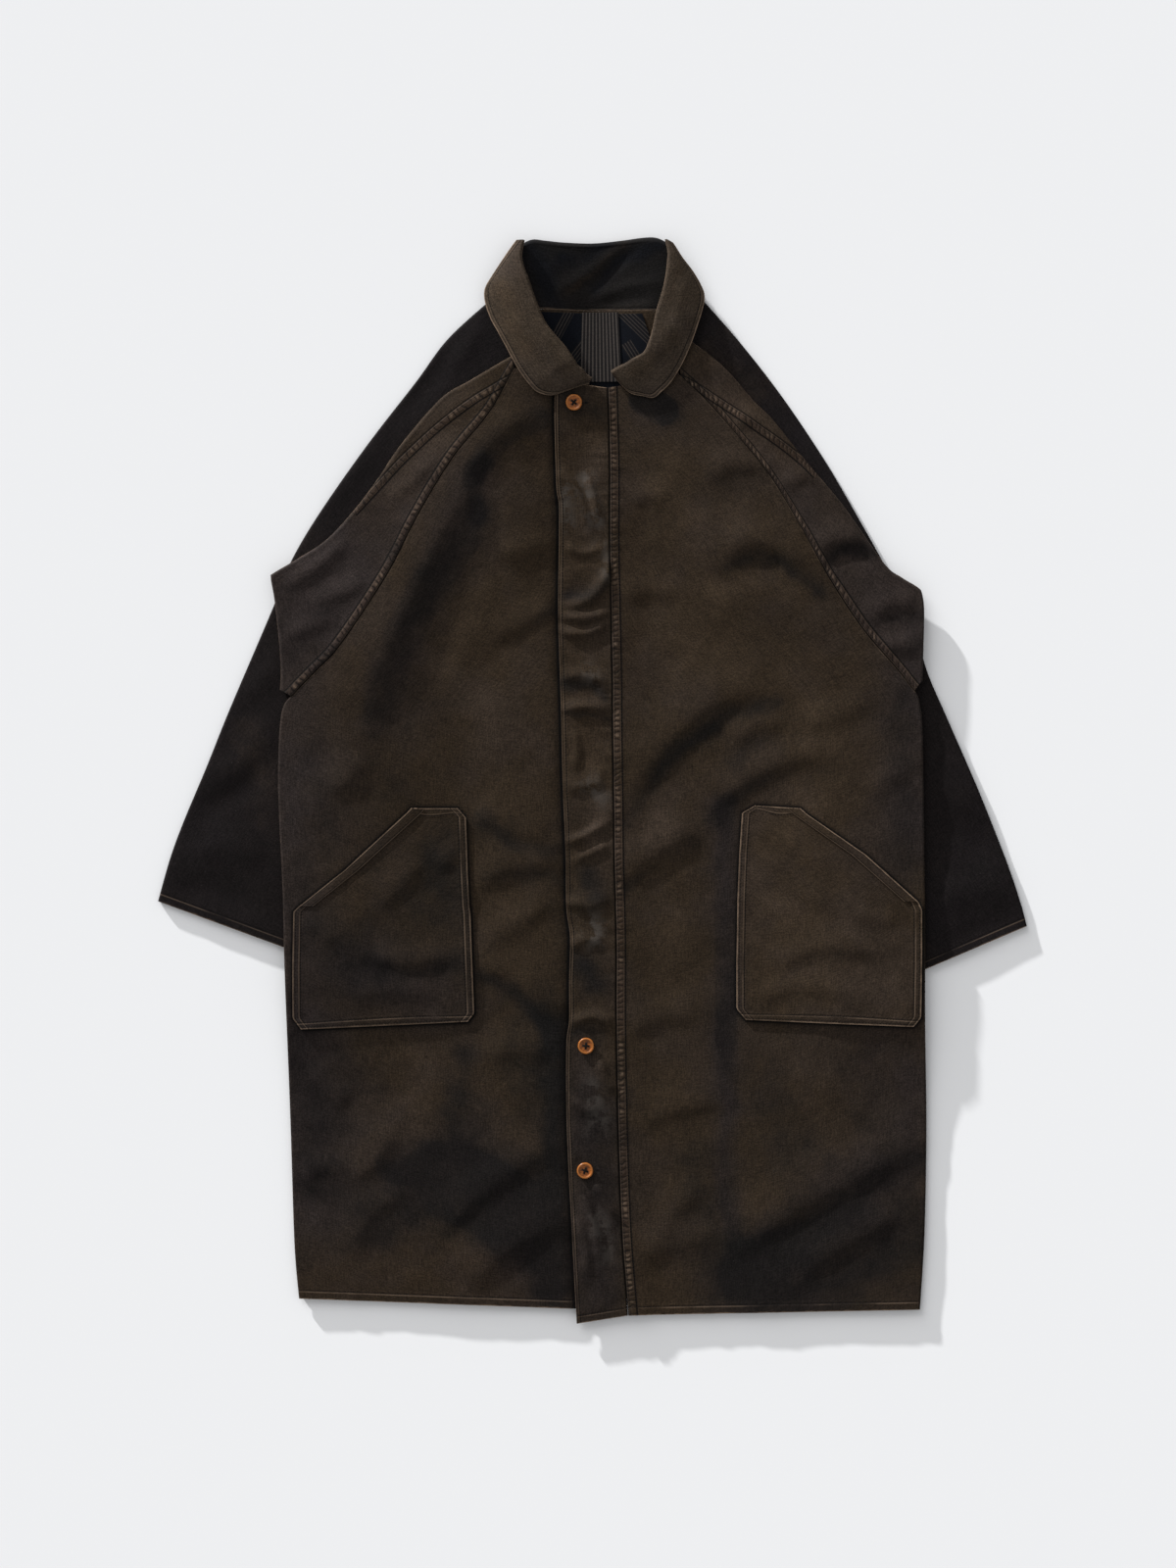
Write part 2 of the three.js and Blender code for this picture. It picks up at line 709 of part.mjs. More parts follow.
function addNeckLining() {
  const liningHeight = (x, y) => backHeight(x, y) + CLOTH / 2 + LAYER_GAP + LINING_CLOTH / 2;
  const tapeHeight = (x, y) => liningHeight(x, y) + LINING_CLOTH / 2 + LAYER_GAP + TAPE_CLOTH / 2;
  const lining = flatPanel(NECK_LINING_SECTIONS, 10, liningHeight);
  const tape = flatPanel(NECK_TAPE_SECTIONS, 3, tapeHeight);
  addPiece("neck_lining", clothSolid(lining, LINING_CLOTH), "lining");
  addPiece("neck_tape", clothSolid(tape, TAPE_CLOTH), "lining");
}

// A closed geometry as a solid that holes can be cut from
function solidFrom(wasm, geometry) {
  const bare = geometry.clone();
  bare.deleteAttribute("normal");
  bare.deleteAttribute("uv");
  const merged = mergeVertices(bare, 1e-4);
  return new wasm.Manifold(
    new wasm.Mesh({
      numProp: 3,
      vertProperties: merged.attributes.position.array,
      triVerts: new Uint32Array(merged.index.array),
    }),
  );
}

function geometryFrom(solid) {
  const mesh = solid.getMesh();
  return new THREE.BufferGeometry()
    .setAttribute("position", new THREE.BufferAttribute(mesh.vertProperties, 3))
    .setIndex(new THREE.BufferAttribute(mesh.triVerts, 1));
}

// Button with a raised rim round a dished face, and four thread holes
function buttonGeometry(wasm) {
  const radius = BUTTON_DIAMETER / 2;
  const profile = [
    [0, 0],
    [radius - 1.6, 0],
    [radius, BUTTON_THICKNESS / 2],
    [radius - 0.8, BUTTON_THICKNESS],
    [radius - BUTTON_RIM, BUTTON_THICKNESS - 0.4],
    [radius - BUTTON_RIM - 1.6, BUTTON_THICKNESS - 0.9],
    [0, BUTTON_THICKNESS - 1.0],
  ];
  const outline = profile.map(([r, z]) => new THREE.Vector2(r, z));
  let solid = solidFrom(wasm, new THREE.LatheGeometry(outline, 20).rotateX(Math.PI / 2));
  const offset = THREE_HOLE_OFFSETS;
  for (const [x, y] of offset) {
    const pin = new THREE.CylinderGeometry(THREAD_HOLE_DIAMETER / 2, THREAD_HOLE_DIAMETER / 2, 8, 6);
    pin.rotateX(Math.PI / 2).translate(x, y, BUTTON_THICKNESS / 2);
    solid = solid.subtract(solidFrom(wasm, pin));
  }
  return geometryFrom(solid);
}
const THREE_HOLE_OFFSETS = [
  [THREAD_HOLE_SPACING / 2, THREAD_HOLE_SPACING / 2],
  [-THREAD_HOLE_SPACING / 2, THREAD_HOLE_SPACING / 2],
  [-THREAD_HOLE_SPACING / 2, -THREAD_HOLE_SPACING / 2],
  [THREAD_HOLE_SPACING / 2, -THREAD_HOLE_SPACING / 2],
];

// Buttons down the placket. Columns: name, x, y.
const BUTTONS = [
  ["button_top", -20, 409],
  ["button_middle", -7, -287],
  ["button_bottom", -8, -422],
];

// Height at which a button lies on the placket: clear of the highest point under it
function buttonRest(x, y) {
  const reach = BUTTON_DIAMETER / 2;
  const around = [0, 60, 120, 180, 240, 300].map(THREE.MathUtils.degToRad);
  const heights = around.map((a) => placketHeight(x + reach * Math.cos(a), y + reach * Math.sin(a)));
  return Math.max(...heights) + PLACKET_CLOTH / 2 + SEAM_GAP;
}

async function addButtons() {
  const wasm = await Module();
  wasm.setup();
  const geometry = buttonGeometry(wasm);
  for (const [name, x, y] of BUTTONS) {
    const button = addPiece(name, geometry, "button");
    button.position.set(x, y, buttonRest(x, y));
  }
}

addBack();
addFront("front_right", FRONT_RIGHT_SECTIONS, frontHeight);
addFront("front_left", FRONT_LEFT_SECTIONS, frontLeftHeight);
addSleeve("sleeve_right", SLEEVE_RIGHT_SECTIONS);
addSleeve("sleeve_left", SLEEVE_LEFT_SECTIONS);
addSleeveFront("sleeve_front_right", SLEEVE_FRONT_RIGHT_SECTIONS, FRONT_RIGHT_SECTIONS);
addSleeveFront("sleeve_front_left", SLEEVE_FRONT_LEFT_SECTIONS, FRONT_LEFT_SECTIONS);
addPlacket();
addPocket("right", POCKET_RIGHT_SECTIONS);
addPocket("left", POCKET_LEFT_SECTIONS);
addCollarLeaf("collar_leaf_right", LEAF_RIGHT_SECTIONS);
addCollarLeaf("collar_leaf_left", LEAF_LEFT_SECTIONS);
addCollarBack();
addNeckLining();
await addButtons();

export default coat;
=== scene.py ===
"""Dressed model of a long raglan overcoat of dark brown waxed cotton, laid flat on its back.

Tables and heights are in millimetres, in the frame of the CAD model: +Z up, +Y from the hem to the collar,
and the wearer's left on +X. Finished meshes are in metres.
"""
import math

import bmesh
import bpy
import numpy as np
from bpy.props import FloatProperty, FloatVectorProperty, PointerProperty
from mathutils import Matrix, Vector


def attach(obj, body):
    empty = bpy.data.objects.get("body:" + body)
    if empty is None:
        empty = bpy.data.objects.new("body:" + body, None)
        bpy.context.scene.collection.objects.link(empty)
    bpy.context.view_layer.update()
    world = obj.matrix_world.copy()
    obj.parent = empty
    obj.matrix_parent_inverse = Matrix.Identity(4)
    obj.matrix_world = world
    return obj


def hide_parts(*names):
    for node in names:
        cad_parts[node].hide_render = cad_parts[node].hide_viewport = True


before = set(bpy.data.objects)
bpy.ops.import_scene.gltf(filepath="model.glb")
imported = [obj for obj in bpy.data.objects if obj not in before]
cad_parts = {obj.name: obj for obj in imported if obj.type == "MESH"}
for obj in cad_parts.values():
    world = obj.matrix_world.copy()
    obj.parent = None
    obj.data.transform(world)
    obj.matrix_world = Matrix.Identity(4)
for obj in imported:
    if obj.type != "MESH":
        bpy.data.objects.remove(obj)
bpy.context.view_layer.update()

bl_info = {
    "name": "Raglan overcoat, laid flat",
    "version": (1, 0, 0),
    "blender": (4, 5, 0),
    "location": "3D View > Sidebar > Overcoat",
    "description": "Makes the cloth, seams, buttons and stage of a long waxed overcoat",
    "category": "Object",
}

MILLIMETRE = 0.001

# Thickness of each cloth and gaps between them, as in the CAD model
CLOTH = 2.0
PLACKET_CLOTH = 2.2
POCKET_CLOTH = 1.8
LINING_CLOTH = 1.0
TAPE_CLOTH = 0.6
BAND_CLOTH = 1.0
SEAM_GAP = 0.3
LAYER_GAP = 0.6
RAGLAN_GAP = 0.6
PLACKET_SEAM_GAP = 0.5

# Heights of the middle of the cloths over the floor or over each other, as in the CAD model
FLOOR_LAYER = CLOTH / 2
FRONT_REST = 5.6
SLEEVE_CROWN = 6.4
SLEEVE_EDGE = 5.0
BACK_LIFT = 8.4
CAP_RETURN = 9.0
PLACKET_RISE = CLOTH / 2 + LAYER_GAP + PLACKET_CLOTH / 2
POCKET_CROWN = 1.0
LEAF_FOLD_DEPTH = 5
SLEEVE_RETURN_DROP = 5.4

# Seams, folds, hems and the raised allowances beside them
SEAM_STRAIGHT = 0.7
ROLL_ANGLES = (0, 15, 30, 45, 60, 75, 90)
RISE_WIDTH = 45
ALLOWANCE_RISE = 0.5
ALLOWANCE_SLOPE = 1.6
HEM_WIDTH = 8
HEM_SHORTENING = 5
CENTRE_STRIP_WIDTH = 8.8
RAGLAN_STRIP_WIDTH = 7.6
POCKET_HEM_WIDTH = 8
POCKET_BAND_WIDTH = 15
POCKET_BAND_INSET = 0.8
POCKET_BAND_START = 0.12
POCKET_MOUTH_ROWS = 3
SLEEVE_RETURN_LENGTH = 18
LEAF_UNDER_LENGTH = 26
FALL_LENGTH = 46
COLLAR_SPREAD = 14

# Strength of creases on single pieces, and the press of the placket's edge into the front under it
PLACKET_CREASE_GAIN = 1.45
SLEEVE_CREASE_GAIN = 1.8
SLEEVE_RUMPLE = 0.6
PLACKET_PRESS = 1.4
PLACKET_PRESS_REACH = 7

# Thickness of the pieces that have one of their own, in metres
PLACKET_EXTRA = 0.0002
BAND_THICKNESS = 0.0008
LINING_THICKNESS = 0.0009
TAPE_THICKNESS = 0.0005

# Distance between the rows, and between the columns, of each cloth's grid
BACK_GRID = (11, 11)
FRONT_GRID = (3.5, 3.5)
SLEEVE_GRID = (6, 6)
SLEEVE_FRONT_GRID = (3.4, 3.2)
PLACKET_GRID = (2.2, 2.3)
POCKET_GRID = (3, 3)
LEAF_GRID = (3, 2.4)
COLLAR_BACK_GRID = (2.6, 2.4)
NECK_GRID = (3, 3)
EDGE_STEPS = np.array([0, 0.5, 1.1, 2.0, 3.2, 4.8, 6.6, 8.6, 11])

# How far creases, marks and patches reach, in half widths, and how creases fade to their ends
CREASE_REACH = 2.6
MARK_REACH = 2.4
PATCH_REACH = 1.6
CREASE_FADE = 0.3
CREASE_END_SHARE = 0.25
BUTTON_CLEARING = (10, 20)

# Smooth noise: size of its lattice, where on it the coat's middle lies, and the first seed of each use
LATTICE_SIZE = 128
LATTICE_PLACE = (40.5, 60.5)
RUMPLE_SEED = 3
SLEEVE_RUMPLE_SEED = 11
MARK_SEED = 21
PUCKER_SEED = 50
PUCKER_STRENGTH_SEED = 70

# Uneven edges of the marks of dye and of painted shade, broad and fine. Columns: how far they wander, spacing
# of the noise.
MARK_WANDER = ((6, 42), (3, 13))

BUTTON_DIAMETER = 17.8
BUTTON_THICKNESS = 3.2
BUTTON_RIM = 2.2
THREAD_HOLE_DIAMETER = 1.9
THREAD_HOLE_SPACING = 3.4
THREAD_HOLE_SIDES = ((1, 1), (-1, 1), (-1, -1), (1, -1))
THREAD_HOLE_DEPTH = 8

# Thread of a button: crossed stitches over it, and strands down through its holes
CROSS_HALF_SIZES = (THREAD_HOLE_SPACING / 2 * 2.15, 0.78, 0.62)
CROSS_SHIFT = 0.5
CROSS_HEIGHT = 2.4
STRAND_RADIUS = 0.5
STRAND_LENGTH = 3.4
STRAND_HEIGHT = 0.8

# Where a sleeve's inner edge lies under the body. Columns: y, distance from the middle of the coat.
SLEEVE_INNER_RIGHT = [
    (540, 64), (462, 72), (392, 110), (338, 138), (267, 174), (192, 217), (150, 246),
    (111, 270), (76, 282), (12, 291), (-36, 295), (-94, 299), (-142, 303), (-191, 306),
]
SLEEVE_INNER_LEFT = [
    (540, 66), (462, 74), (392, 114), (333, 149), (267, 186), (208, 228), (166, 255),
    (111, 284), (70, 298), (12, 306), (-57, 313), (-131, 319), (-184, 316), (-225, 312),
]
SLEEVE_MARGIN = 8
LIFT_SLOPE = 150
CUFF_SLOPE = 150

# Soft folds of the fronts. Columns: x and y of one end, x and y of the other, half width, height.
FOLDS = [
    (-150, 345, -255, 105, 42, 1.6),
    (-75, 290, -165, 95, 46, 1.3),
    (150, 205, 215, 205, 46, 1.6),
    (110, 278, 235, 282, 46, 1.2),
    (60, 72, 170, 92, 46, 1.2),
    (64, -60, 135, -10, 44, 1.4),
    (-290, 40, -240, -10, 48, 1.0),
    (300, 30, 330, -40, 48, 1.0),
    (-60, -235, -165, -180, 46, 1.2),
    (-60, -330, -200, -390, 50, 1.4),
    (-70, -520, -190, -440, 48, 1.6),
    (80, -330, 115, -450, 46, 1.3),
    (215, -440, 340, -370, 48, 1.3),
    (200, -540, 330, -500, 50, 1.2),
]

# Fronts. Columns: raglan or side seam x, y, then centre edge x, y. The armpit is the ninth row.
FRONT_RIGHT_SECTIONS = [
    (-85, 446, 10, 426),
    (-112, 397, 13, 378),
    (-152, 347, 14, 325),
    (-191, 282, 15, 267),
    (-222, 222, 15, 208),
    (-272, 147, 16, 139),
    (-300, 117, 17, 110),
    (-320, 96, 17, 90),
    (-335, 74, 17, 65),
    (-339, 13, 19, 7),
    (-338, -36, 19, -41),
    (-334, -122, 21, -126),
    (-332, -207, 22, -210),
    (-326, -380, 24, -382),
    (-322, -502, 29, -505),
    (-317, -561, 34, -574),
]
FRONT_LEFT_SECTIONS = [
    (95, 438, 17, 425),
    (126, 408, 18, 388),
    (160, 369, 19, 346),
    (195, 325, 19, 304),
    (228, 269, 19, 251),
    (257, 217, 20, 203),
    (292, 164, 21, 150),
    (339, 108, 22, 102),
    (354, 79, 22, 74),
    (357, 7, 23, -4),
    (358, -78, 24, -89),
    (359, -168, 26, -173),
    (359, -258, 26, -258),
    (361, -374, 28, -375),
    (359, -489, 32, -487),
    (354, -573, 39, -579),
]
ARMPIT_ROW = 8

# Back: the two ends of its neck edge, then the side edges of the fronts, with a shorter hem
BACK_NECK = (-64, 510, 73, 508)
BACK_SECTIONS = [BACK_NECK] + [
    (right[0], right[1], left[0], left[1]) for right, left in zip(FRONT_RIGHT_SECTIONS, FRONT_LEFT_SECTIONS)
]
BACK_SECTIONS[-1] = tuple(np.add(BACK_SECTIONS[-1], (0, HEM_SHORTENING, 0, HEM_SHORTENING)).tolist())

# Sleeves, flattened tubes from the neck to the cuff. Columns: outer edge x, y, inner edge x, y.
SLEEVE_RIGHT_SECTIONS = [
    (-108, 522, -72, 462),
    (-156, 478, -112, 392),
    (-191, 431, -138, 338),
    (-242, 365, -174, 267),
    (-296, 288, -217, 192),
    (-327, 235, -246, 150),
    (-343, 193, -270, 111),
    (-359, 155, -282, 76),
    (-394, 73, -291, 12),
    (-418, 13, -295, -36),
    (-442, -44, -299, -94),
    (-457, -85, -303, -142),
    (-470, -131, -306, -191),
]
SLEEVE_LEFT_SECTIONS = [
    (114, 526, 74, 462),
    (161, 472, 116, 392),
    (206, 414, 149, 333),
    (252, 345, 186, 267),
    (292, 276, 228, 208),
    (316, 233, 255, 166),
    (345, 176, 284, 111),
    (362, 118, 298, 70),
    (385, 64, 306, 12),
    (416, -7, 313, -57),
    (447, -85, 319, -131),
    (463, -132, 316, -184),
    (470, -158, 312, -225),
]

# Sleeve fronts. Columns: folded edge x, y, then the row of the front's section table that it is sewn to.
SLEEVE_FRONT_RIGHT_SECTIONS = [
    (-88, 458, 0),
    (-132, 432, 1),
    (-164, 412, 1.5),
    (-207, 362, 2.45),
    (-232, 325, 3),
    (-257, 292, 3.55),
    (-287, 260, 4),
    (-317, 240, 4.4),
    (-344, 224, 4.6),
    (-347, 219, 4.68),
    (-343, 195, 5),
    (-338, 150, 5.9),
    (-336, 118, 6.9),
    (-337, 98, 7.3),
]
SLEEVE_FRONT_LEFT_SECTIONS = [
    (92, 484, 0),
    (126, 460, 1),
    (149, 439, 1.68),
    (172, 412, 2.33),
    (195, 389, 3),
    (227, 349, 3.68),
    (264, 305, 4.45),
    (282, 281, 5),
    (316, 233, 5.52),
    (334, 219, 6),
    (352, 208, 6.3),
    (356, 201, 6.38),
    (358, 182, 6.66),
    (357, 139, 7),
    (356, 108, 7.4),
]

# Seam along each shoulder, from the collar down the sleeve front. Columns: x, y.
SHOULDER_SEAM_RIGHT = [
    (-80, 441), (-92, 437), (-132, 413), (-169, 385), (-207, 350), (-232, 323), (-262, 291),
]
SHOULDER_SEAM_LEFT = [
    (80, 446), (91, 441), (114, 429), (137, 414), (160, 399), (183, 383), (207, 366), (228, 349), (246, 331),
]

# Placket. Columns: free edge x, y, then the row of the left front's section table that it is sewn to.
PLACKET_SECTIONS = [
    (-40, 433, 0),
    (-41, 398, 0.73),
    (-39, 320, 2.62),
    (-36, 290, 3.26),
    (-37, 189, 5.26),
    (-36, 143, 6.15),
    (-34, 81, 7.75),
    (-32, -4, 9),
    (-29, -78, 9.87),
    (-28, -138, 10.58),
    (-24, -170, 10.96),
    (-25, -216, 11.5),
    (-25, -259, 12),
    (-28, -286, 12.24),
    (-28, -356, 12.84),
    (-26, -414, 13.35),
    (-23, -472, 13.87),
    (-20, -531, 14.48),
    (-17, -588, 15),
]

# Patch pockets with a slanted mouth. Columns: side edge x, y, centre edge x, y.
POCKET_RIGHT_SECTIONS = [
    (-196, -30, -146, -30),
    (-201, -35, -137, -40),
    (-268, -97, -135, -98),
    (-317, -136, -133, -137),
    (-323, -142, -132, -144),
    (-324, -200, -130, -198),
    (-324, -257, -128, -252),
    (-315, -269, -135, -261),
]
POCKET_LEFT_SECTIONS = [
    (225, -30, 176, -27),
    (233, -37, 162, -35),
    (295, -80, 159, -80),
    (352, -131, 157, -131),
    (356, -140, 157, -140),
    (356, -200, 156, -196),
    (355, -256, 156, -247),
    (347, -266, 166, -259),
]

# Collar leaves. Columns: fold x, y, free edge x, y, then heights at the fold, the free edge and the stand.
LEAF_RIGHT_SECTIONS = [
    (-74, 584, -82, 584, 16.8, 16.0, 13.7),
    (-77, 567, -94, 567, 20.6, 15, 14),
    (-74, 553, -108, 546, 23, 12.5, 13),
    (-70, 543, -116, 532, 24, 11.5, 12),
    (-65, 528, -116, 518, 24.5, 11.5, 12),
    (-58, 509, -110, 500, 25, 12.5, 12),
    (-51, 494, -102, 485, 25, 15, 13),
    (-42, 482, -94, 470, 25, 16.4, 15),
    (-29, 467, -81, 446, 24.5, 16.8, 16),
    (-21, 455, -68, 428, 24, 16.0, 15.5),
    (-16, 448, -59, 420, 22, 14.7, 15),
    (-11, 444, -45, 417, 20.5, 13.7, 14),
    (-7, 439, -31, 421, 18.8, 13.1, 13.5),
    (-4, 437, -15, 427, 17.5, 11.7, 12.5),
    (-1, 435, -4, 430, 16.2, 11.6, 11.2),
]
LEAF_LEFT_SECTIONS = [
    (79, 585, 87, 581, 16.8, 16.0, 13.7),
    (82, 571, 97, 565, 20.6, 15, 14),
    (81, 555, 108, 551, 23, 12.5, 13),
    (79, 541, 117, 536, 24, 11.5, 12),
    (76, 528, 121, 524, 24.5, 11.5, 12),
    (70, 508, 118, 507, 25, 12.5, 12),
    (65, 485, 109, 479, 25, 16.6, 14),
    (61, 472, 103, 464, 25, 17, 15),
    (56, 462, 96, 449, 24.5, 16.8, 16),
    (48, 457, 85, 431, 24, 16.7, 16),
    (42, 454, 74, 420, 23, 16.0, 15),
    (36, 450, 66, 414, 21.5, 14.9, 14.5),
    (29, 447, 55, 416, 20, 13.8, 14),
    (25, 445, 42, 419, 18.8, 12.9, 13.5),
    (22, 443, 31, 429, 17.8, 12.7, 12.6),
    (20, 442, 24, 437, 17.2, 12.7, 12.2),
]

# Back of the collar. Columns: fold x, y, neck seam x, height of the fold.
COLLAR_BACK_SECTIONS = [
    (-79, 578, -64, 11.5),
    (-66, 585, -54, 10.5),
    (-51, 584, -42, 9.5),
    (-31, 582, -25, 9),
    (1, 581, 2, 9),
    (32, 584, 29, 9.2),
    (54, 587, 49, 9.8),
    (69, 587, 62, 10.8),
    (82, 581, 72, 11.5),
]

# Lining inside the neck, and the striped tape on it. Columns: one edge x, y, the other edge x, y.
NECK_LINING_SECTIONS = [
    (-56, 507, 54, 505),
    (-66, 470, 66, 470),
    (-78, 430, 82, 430),
    (-84, 398, 90, 398),
]
NECK_TAPE_SECTIONS = [
    (-11, 507, 28, 507),
    (-12, 470, 30, 470),
    (-13, 432, 32, 432),
]

FACING_STRIPE_SPACING = 3.2
TAPE_STRIPES = 11

# Buttons down the placket. Columns: name, x, y, turn in degrees.
BUTTONS = [
    ("button_top", -20, 409, 8),
    ("button_middle", -7, -287, 40),
    ("button_bottom", -8, -422, 24),
]

# Finer creases. Columns: height, half width on the left of the line's direction, half width on its right,
# points.
FRONT_CREASES = [
    (4.4, 16, 44, ((-128, 330), (-152, 296), (-178, 240), (-206, 182), (-230, 126), (-242, 62))),
    (-1.6, 34, 16, ((-104, 262), (-132, 226), (-172, 158), (-200, 104), (-214, 52))),
    (3.6, 13, 32, ((-54, 404), (-92, 384), (-122, 352), (-142, 330))),
    (2.8, 18, 11, ((-106, 156), (-76, 172), (-43, 192))),
    (2.0, 16, 10, ((-100, 244), (-72, 250), (-44, 262))),
    (2.6, 12, 20, ((-246, 30), (-262, 4), (-292, -18))),
    (2.8, 24, 12, ((-130, -30), (-92, -50), (-44, -60))),
    (3.4, 22, 13, ((-130, -118), (-88, -90), (-38, -88))),
    (2.6, 20, 12, ((-116, -176), (-76, -150), (-42, -124))),
    (3.6, 26, 14, ((-132, -196), (-98, -204), (-66, -230), (-40, -270))),
    (2.2, 18, 12, ((-116, -300), (-78, -290), (-42, -300))),
    (4.2, 14, 34, ((-22, -468), (-78, -496), (-112, -522), (-134, -552))),
    (3.2, 13, 26, ((-44, -396), (-92, -424), (-140, -462), (-164, -490))),
    (2.2, 12, 20, ((-196, -436), (-240, -468), (-262, -516))),
    (2.6, 12, 22, ((-214, -372), (-236, -410), (-262, -430))),
    (2.4, 14, 12, ((-306, -304), (-284, -336), (-262, -352))),
    (2.0, 16, 10, ((-316, -430), (-290, -418), (-262, -424))),
    (4.0, 22, 12, ((138, 236), (162, 256), (190, 257), (220, 240), (250, 212))),
    (-1.6, 12, 18, ((150, 222), (180, 236), (210, 224))),
    (4.6, 34, 15, ((26, -30), (64, 22), (104, 66), (146, 92), (200, 100))),
    (3.0, 20, 12, ((150, 40), (176, 60), (216, 64))),
    (3.8, 28, 14, ((28, -108), (70, -74), (120, -50))),
    (3.2, 22, 12, ((128, -24), (160, -3), (206, 22), (254, 30))),
    (2.4, 16, 11, ((122, 326), (148, 342), (178, 340))),
    (2.0, 16, 10, ((34, 196), (60, 208), (94, 200))),
    (1.8, 14, 11, ((40, 300), (62, 308), (84, 302))),
    (2.2, 18, 12, ((228, 64), (262, 70), (308, 94))),
    (2.0, 14, 12, ((300, -22), (320, 2), (346, 12))),
    (2.8, 20, 12, ((38, -270), (74, -254), (116, -258))),
    (4.2, 15, 36, ((354, -390), (300, -420), (240, -450), (186, -484), (148, -512))),
    (3.0, 12, 24, ((338, -464), (276, -498), (216, -540))),
    (3.0, 12, 14, ((214, -290), (240, -330), (262, -372), (280, -410))),
    (2.0, 12, 16, ((246, -312), (270, -346), (300, -366))),
    (2.4, 12, 20, ((124, -432), (88, -466), (58, -520))),
    (2.6, 22, 11, ((48, -372), (100, -352), (146, -346))),
    (2.2, 18, 12, ((44, -520), (92, -500), (140, -496))),
]
SLEEVE_FRONT_CREASES = [
    (3.4, 18, 9, ((242, 246), (262, 260), (302, 262))),
    (-1.6, 9, 12, ((250, 234), (280, 246), (308, 238))),
    (2.6, 14, 9, ((298, 178), (326, 192), (352, 188))),
    (2.6, 12, 9, ((304, 136), (330, 146), (354, 140))),
    (2.2, 14, 9, ((152, 392), (178, 386), (212, 362))),
    (2.0, 12, 9, ((206, 318), (230, 330), (246, 322))),
    (2.4, 14, 9, ((-304, 192), (-270, 204), (-244, 216))),
    (2.2, 14, 9, ((-334, 156), (-300, 168), (-282, 182))),
    (2.0, 12, 9, ((-224, 298), (-196, 322), (-170, 350))),
    (2.2, 12, 9, ((-334, 208), (-296, 232), (-264, 262))),
    (2.0, 14, 9, ((-170, 386), (-134, 406), (-108, 412))),
]
PLACKET_CREASES = [
    (2.4, 5, 8, ((-38, 340), (-22, 322), (-10, 296), (-4, 272))),
    (2.2, 4, 5, ((-6, 330), (2, 306), (6, 282))),
    (1.6, 5, 5, ((-30, 256), (-12, 246), (14, 252))),
    (3.0, 5, 8, ((20, 236), (12, 212), (-6, 194), (-32, 188))),
    (3.2, 8, 4, ((-36, 178), (-16, 175), (4, 177), (20, 183))),
    (2.6, 6, 4, ((-34, 160), (-6, 159), (18, 170))),
    (2.4, 10, 5, ((-34, 110), (-8, 113), (18, 104))),
    (3.0, 8, 4, ((-32, 77), (-6, 79), (20, 75))),
    (1.6, 5, 6, ((-22, 56), (-16, 34), (-20, 6))),
    (2.0, 12, 8, ((-30, -12), (-6, -4), (16, -2))),
    (2.4, 5, 5, ((-26, -66), (-8, -60), (18, -44))),
    (1.8, 5, 5, ((-20, -88), (4, -76), (18, -70))),
    (2.6, 12, 6, ((-28, -132), (-4, -136), (20, -128))),
    (2.0, 8, 5, ((-24, -182), (-6, -172), (10, -178))),
    (2.4, 7, 5, ((-24, -262), (2, -256), (22, -264))),
    (2.4, 5, 5, ((6, -300), (14, -322), (26, -338))),
    (1.6, 6, 6, ((-22, -344), (-8, -356), (6, -352))),
    (2.6, 5, 5, ((0, -434), (14, -454), (28, -474))),
    (2.4, 5, 7, ((-12, -446), (2, -484), (10, -524))),
    (1.8, 5, 6, ((-16, -470), (-8, -500), (-4, -540))),
]
SLEEVE_CREASES = [
    (0.9, 14, 18, ((-420, 0), (-384, 20), (-350, 60))),
    (-1.0, 14, 14, ((-430, -40), (-390, -16), (-352, 14))),
    (1.0, 16, 18, ((-440, -86), (-396, -70), (-350, -84))),
    (-0.9, 14, 16, ((-452, -120), (-410, -120), (-360, -140))),
    (0.8, 12, 14, ((-378, 90), (-360, 108), (-344, 126))),
    (0.9, 14, 18, ((420, -30), (388, -6), (366, 30))),
    (-1.0, 14, 14, ((440, -80), (400, -56), (370, -40))),
    (1.0, 16, 18, ((452, -120), (410, -116), (372, -130))),
    (-0.9, 14, 16, ((462, -150), (420, -160), (380, -184))),
    (0.8, 12, 14, ((388, 50), (374, 78), (362, 96))),
]
SLEEVE_TOP_CREASES = [
    (0.9, 12, 14, ((-120, 500), (-134, 470), (-160, 446))),
    (-0.8, 12, 12, ((-150, 470), (-176, 430), (-206, 398))),
    (0.8, 12, 12, ((-230, 372), (-262, 330), (-290, 286))),
    (0.9, 12, 14, ((126, 502), (150, 470), (170, 436))),
    (-0.8, 12, 12, ((180, 440), (206, 404), (236, 360))),
    (0.8, 12, 12, ((262, 320), (284, 286), (304, 250))),
]
BACK_CREASES = [
    (0.6, 30, 40, ((-220, 60), (-120, -40), (-60, -160))),
    (0.6, 36, 30, ((240, 40), (150, -60), (110, -180))),
    (0.5, 30, 30, ((-200, -260), (-140, -380), (-150, -480))),
    (0.5, 34, 28, ((200, -240), (190, -360), (240, -470))),
    (0.5, 26, 30, ((-40, 320), (30, 290), (90, 310))),
]
COLLAR_BACK_CREASES = [
    (-1.3, 7, 9, ((-72, 566), (-58, 540), (-42, 512))),
    (1.4, 8, 6, ((-40, 530), (-6, 548), (36, 584))),
    (-1.3, 7, 6, ((-20, 528), (14, 546), (50, 580))),
    (1.2, 6, 6, ((0, 522), (34, 534), (64, 540))),
    (-0.8, 6, 6, ((10, 512), (40, 520), (62, 522))),
]
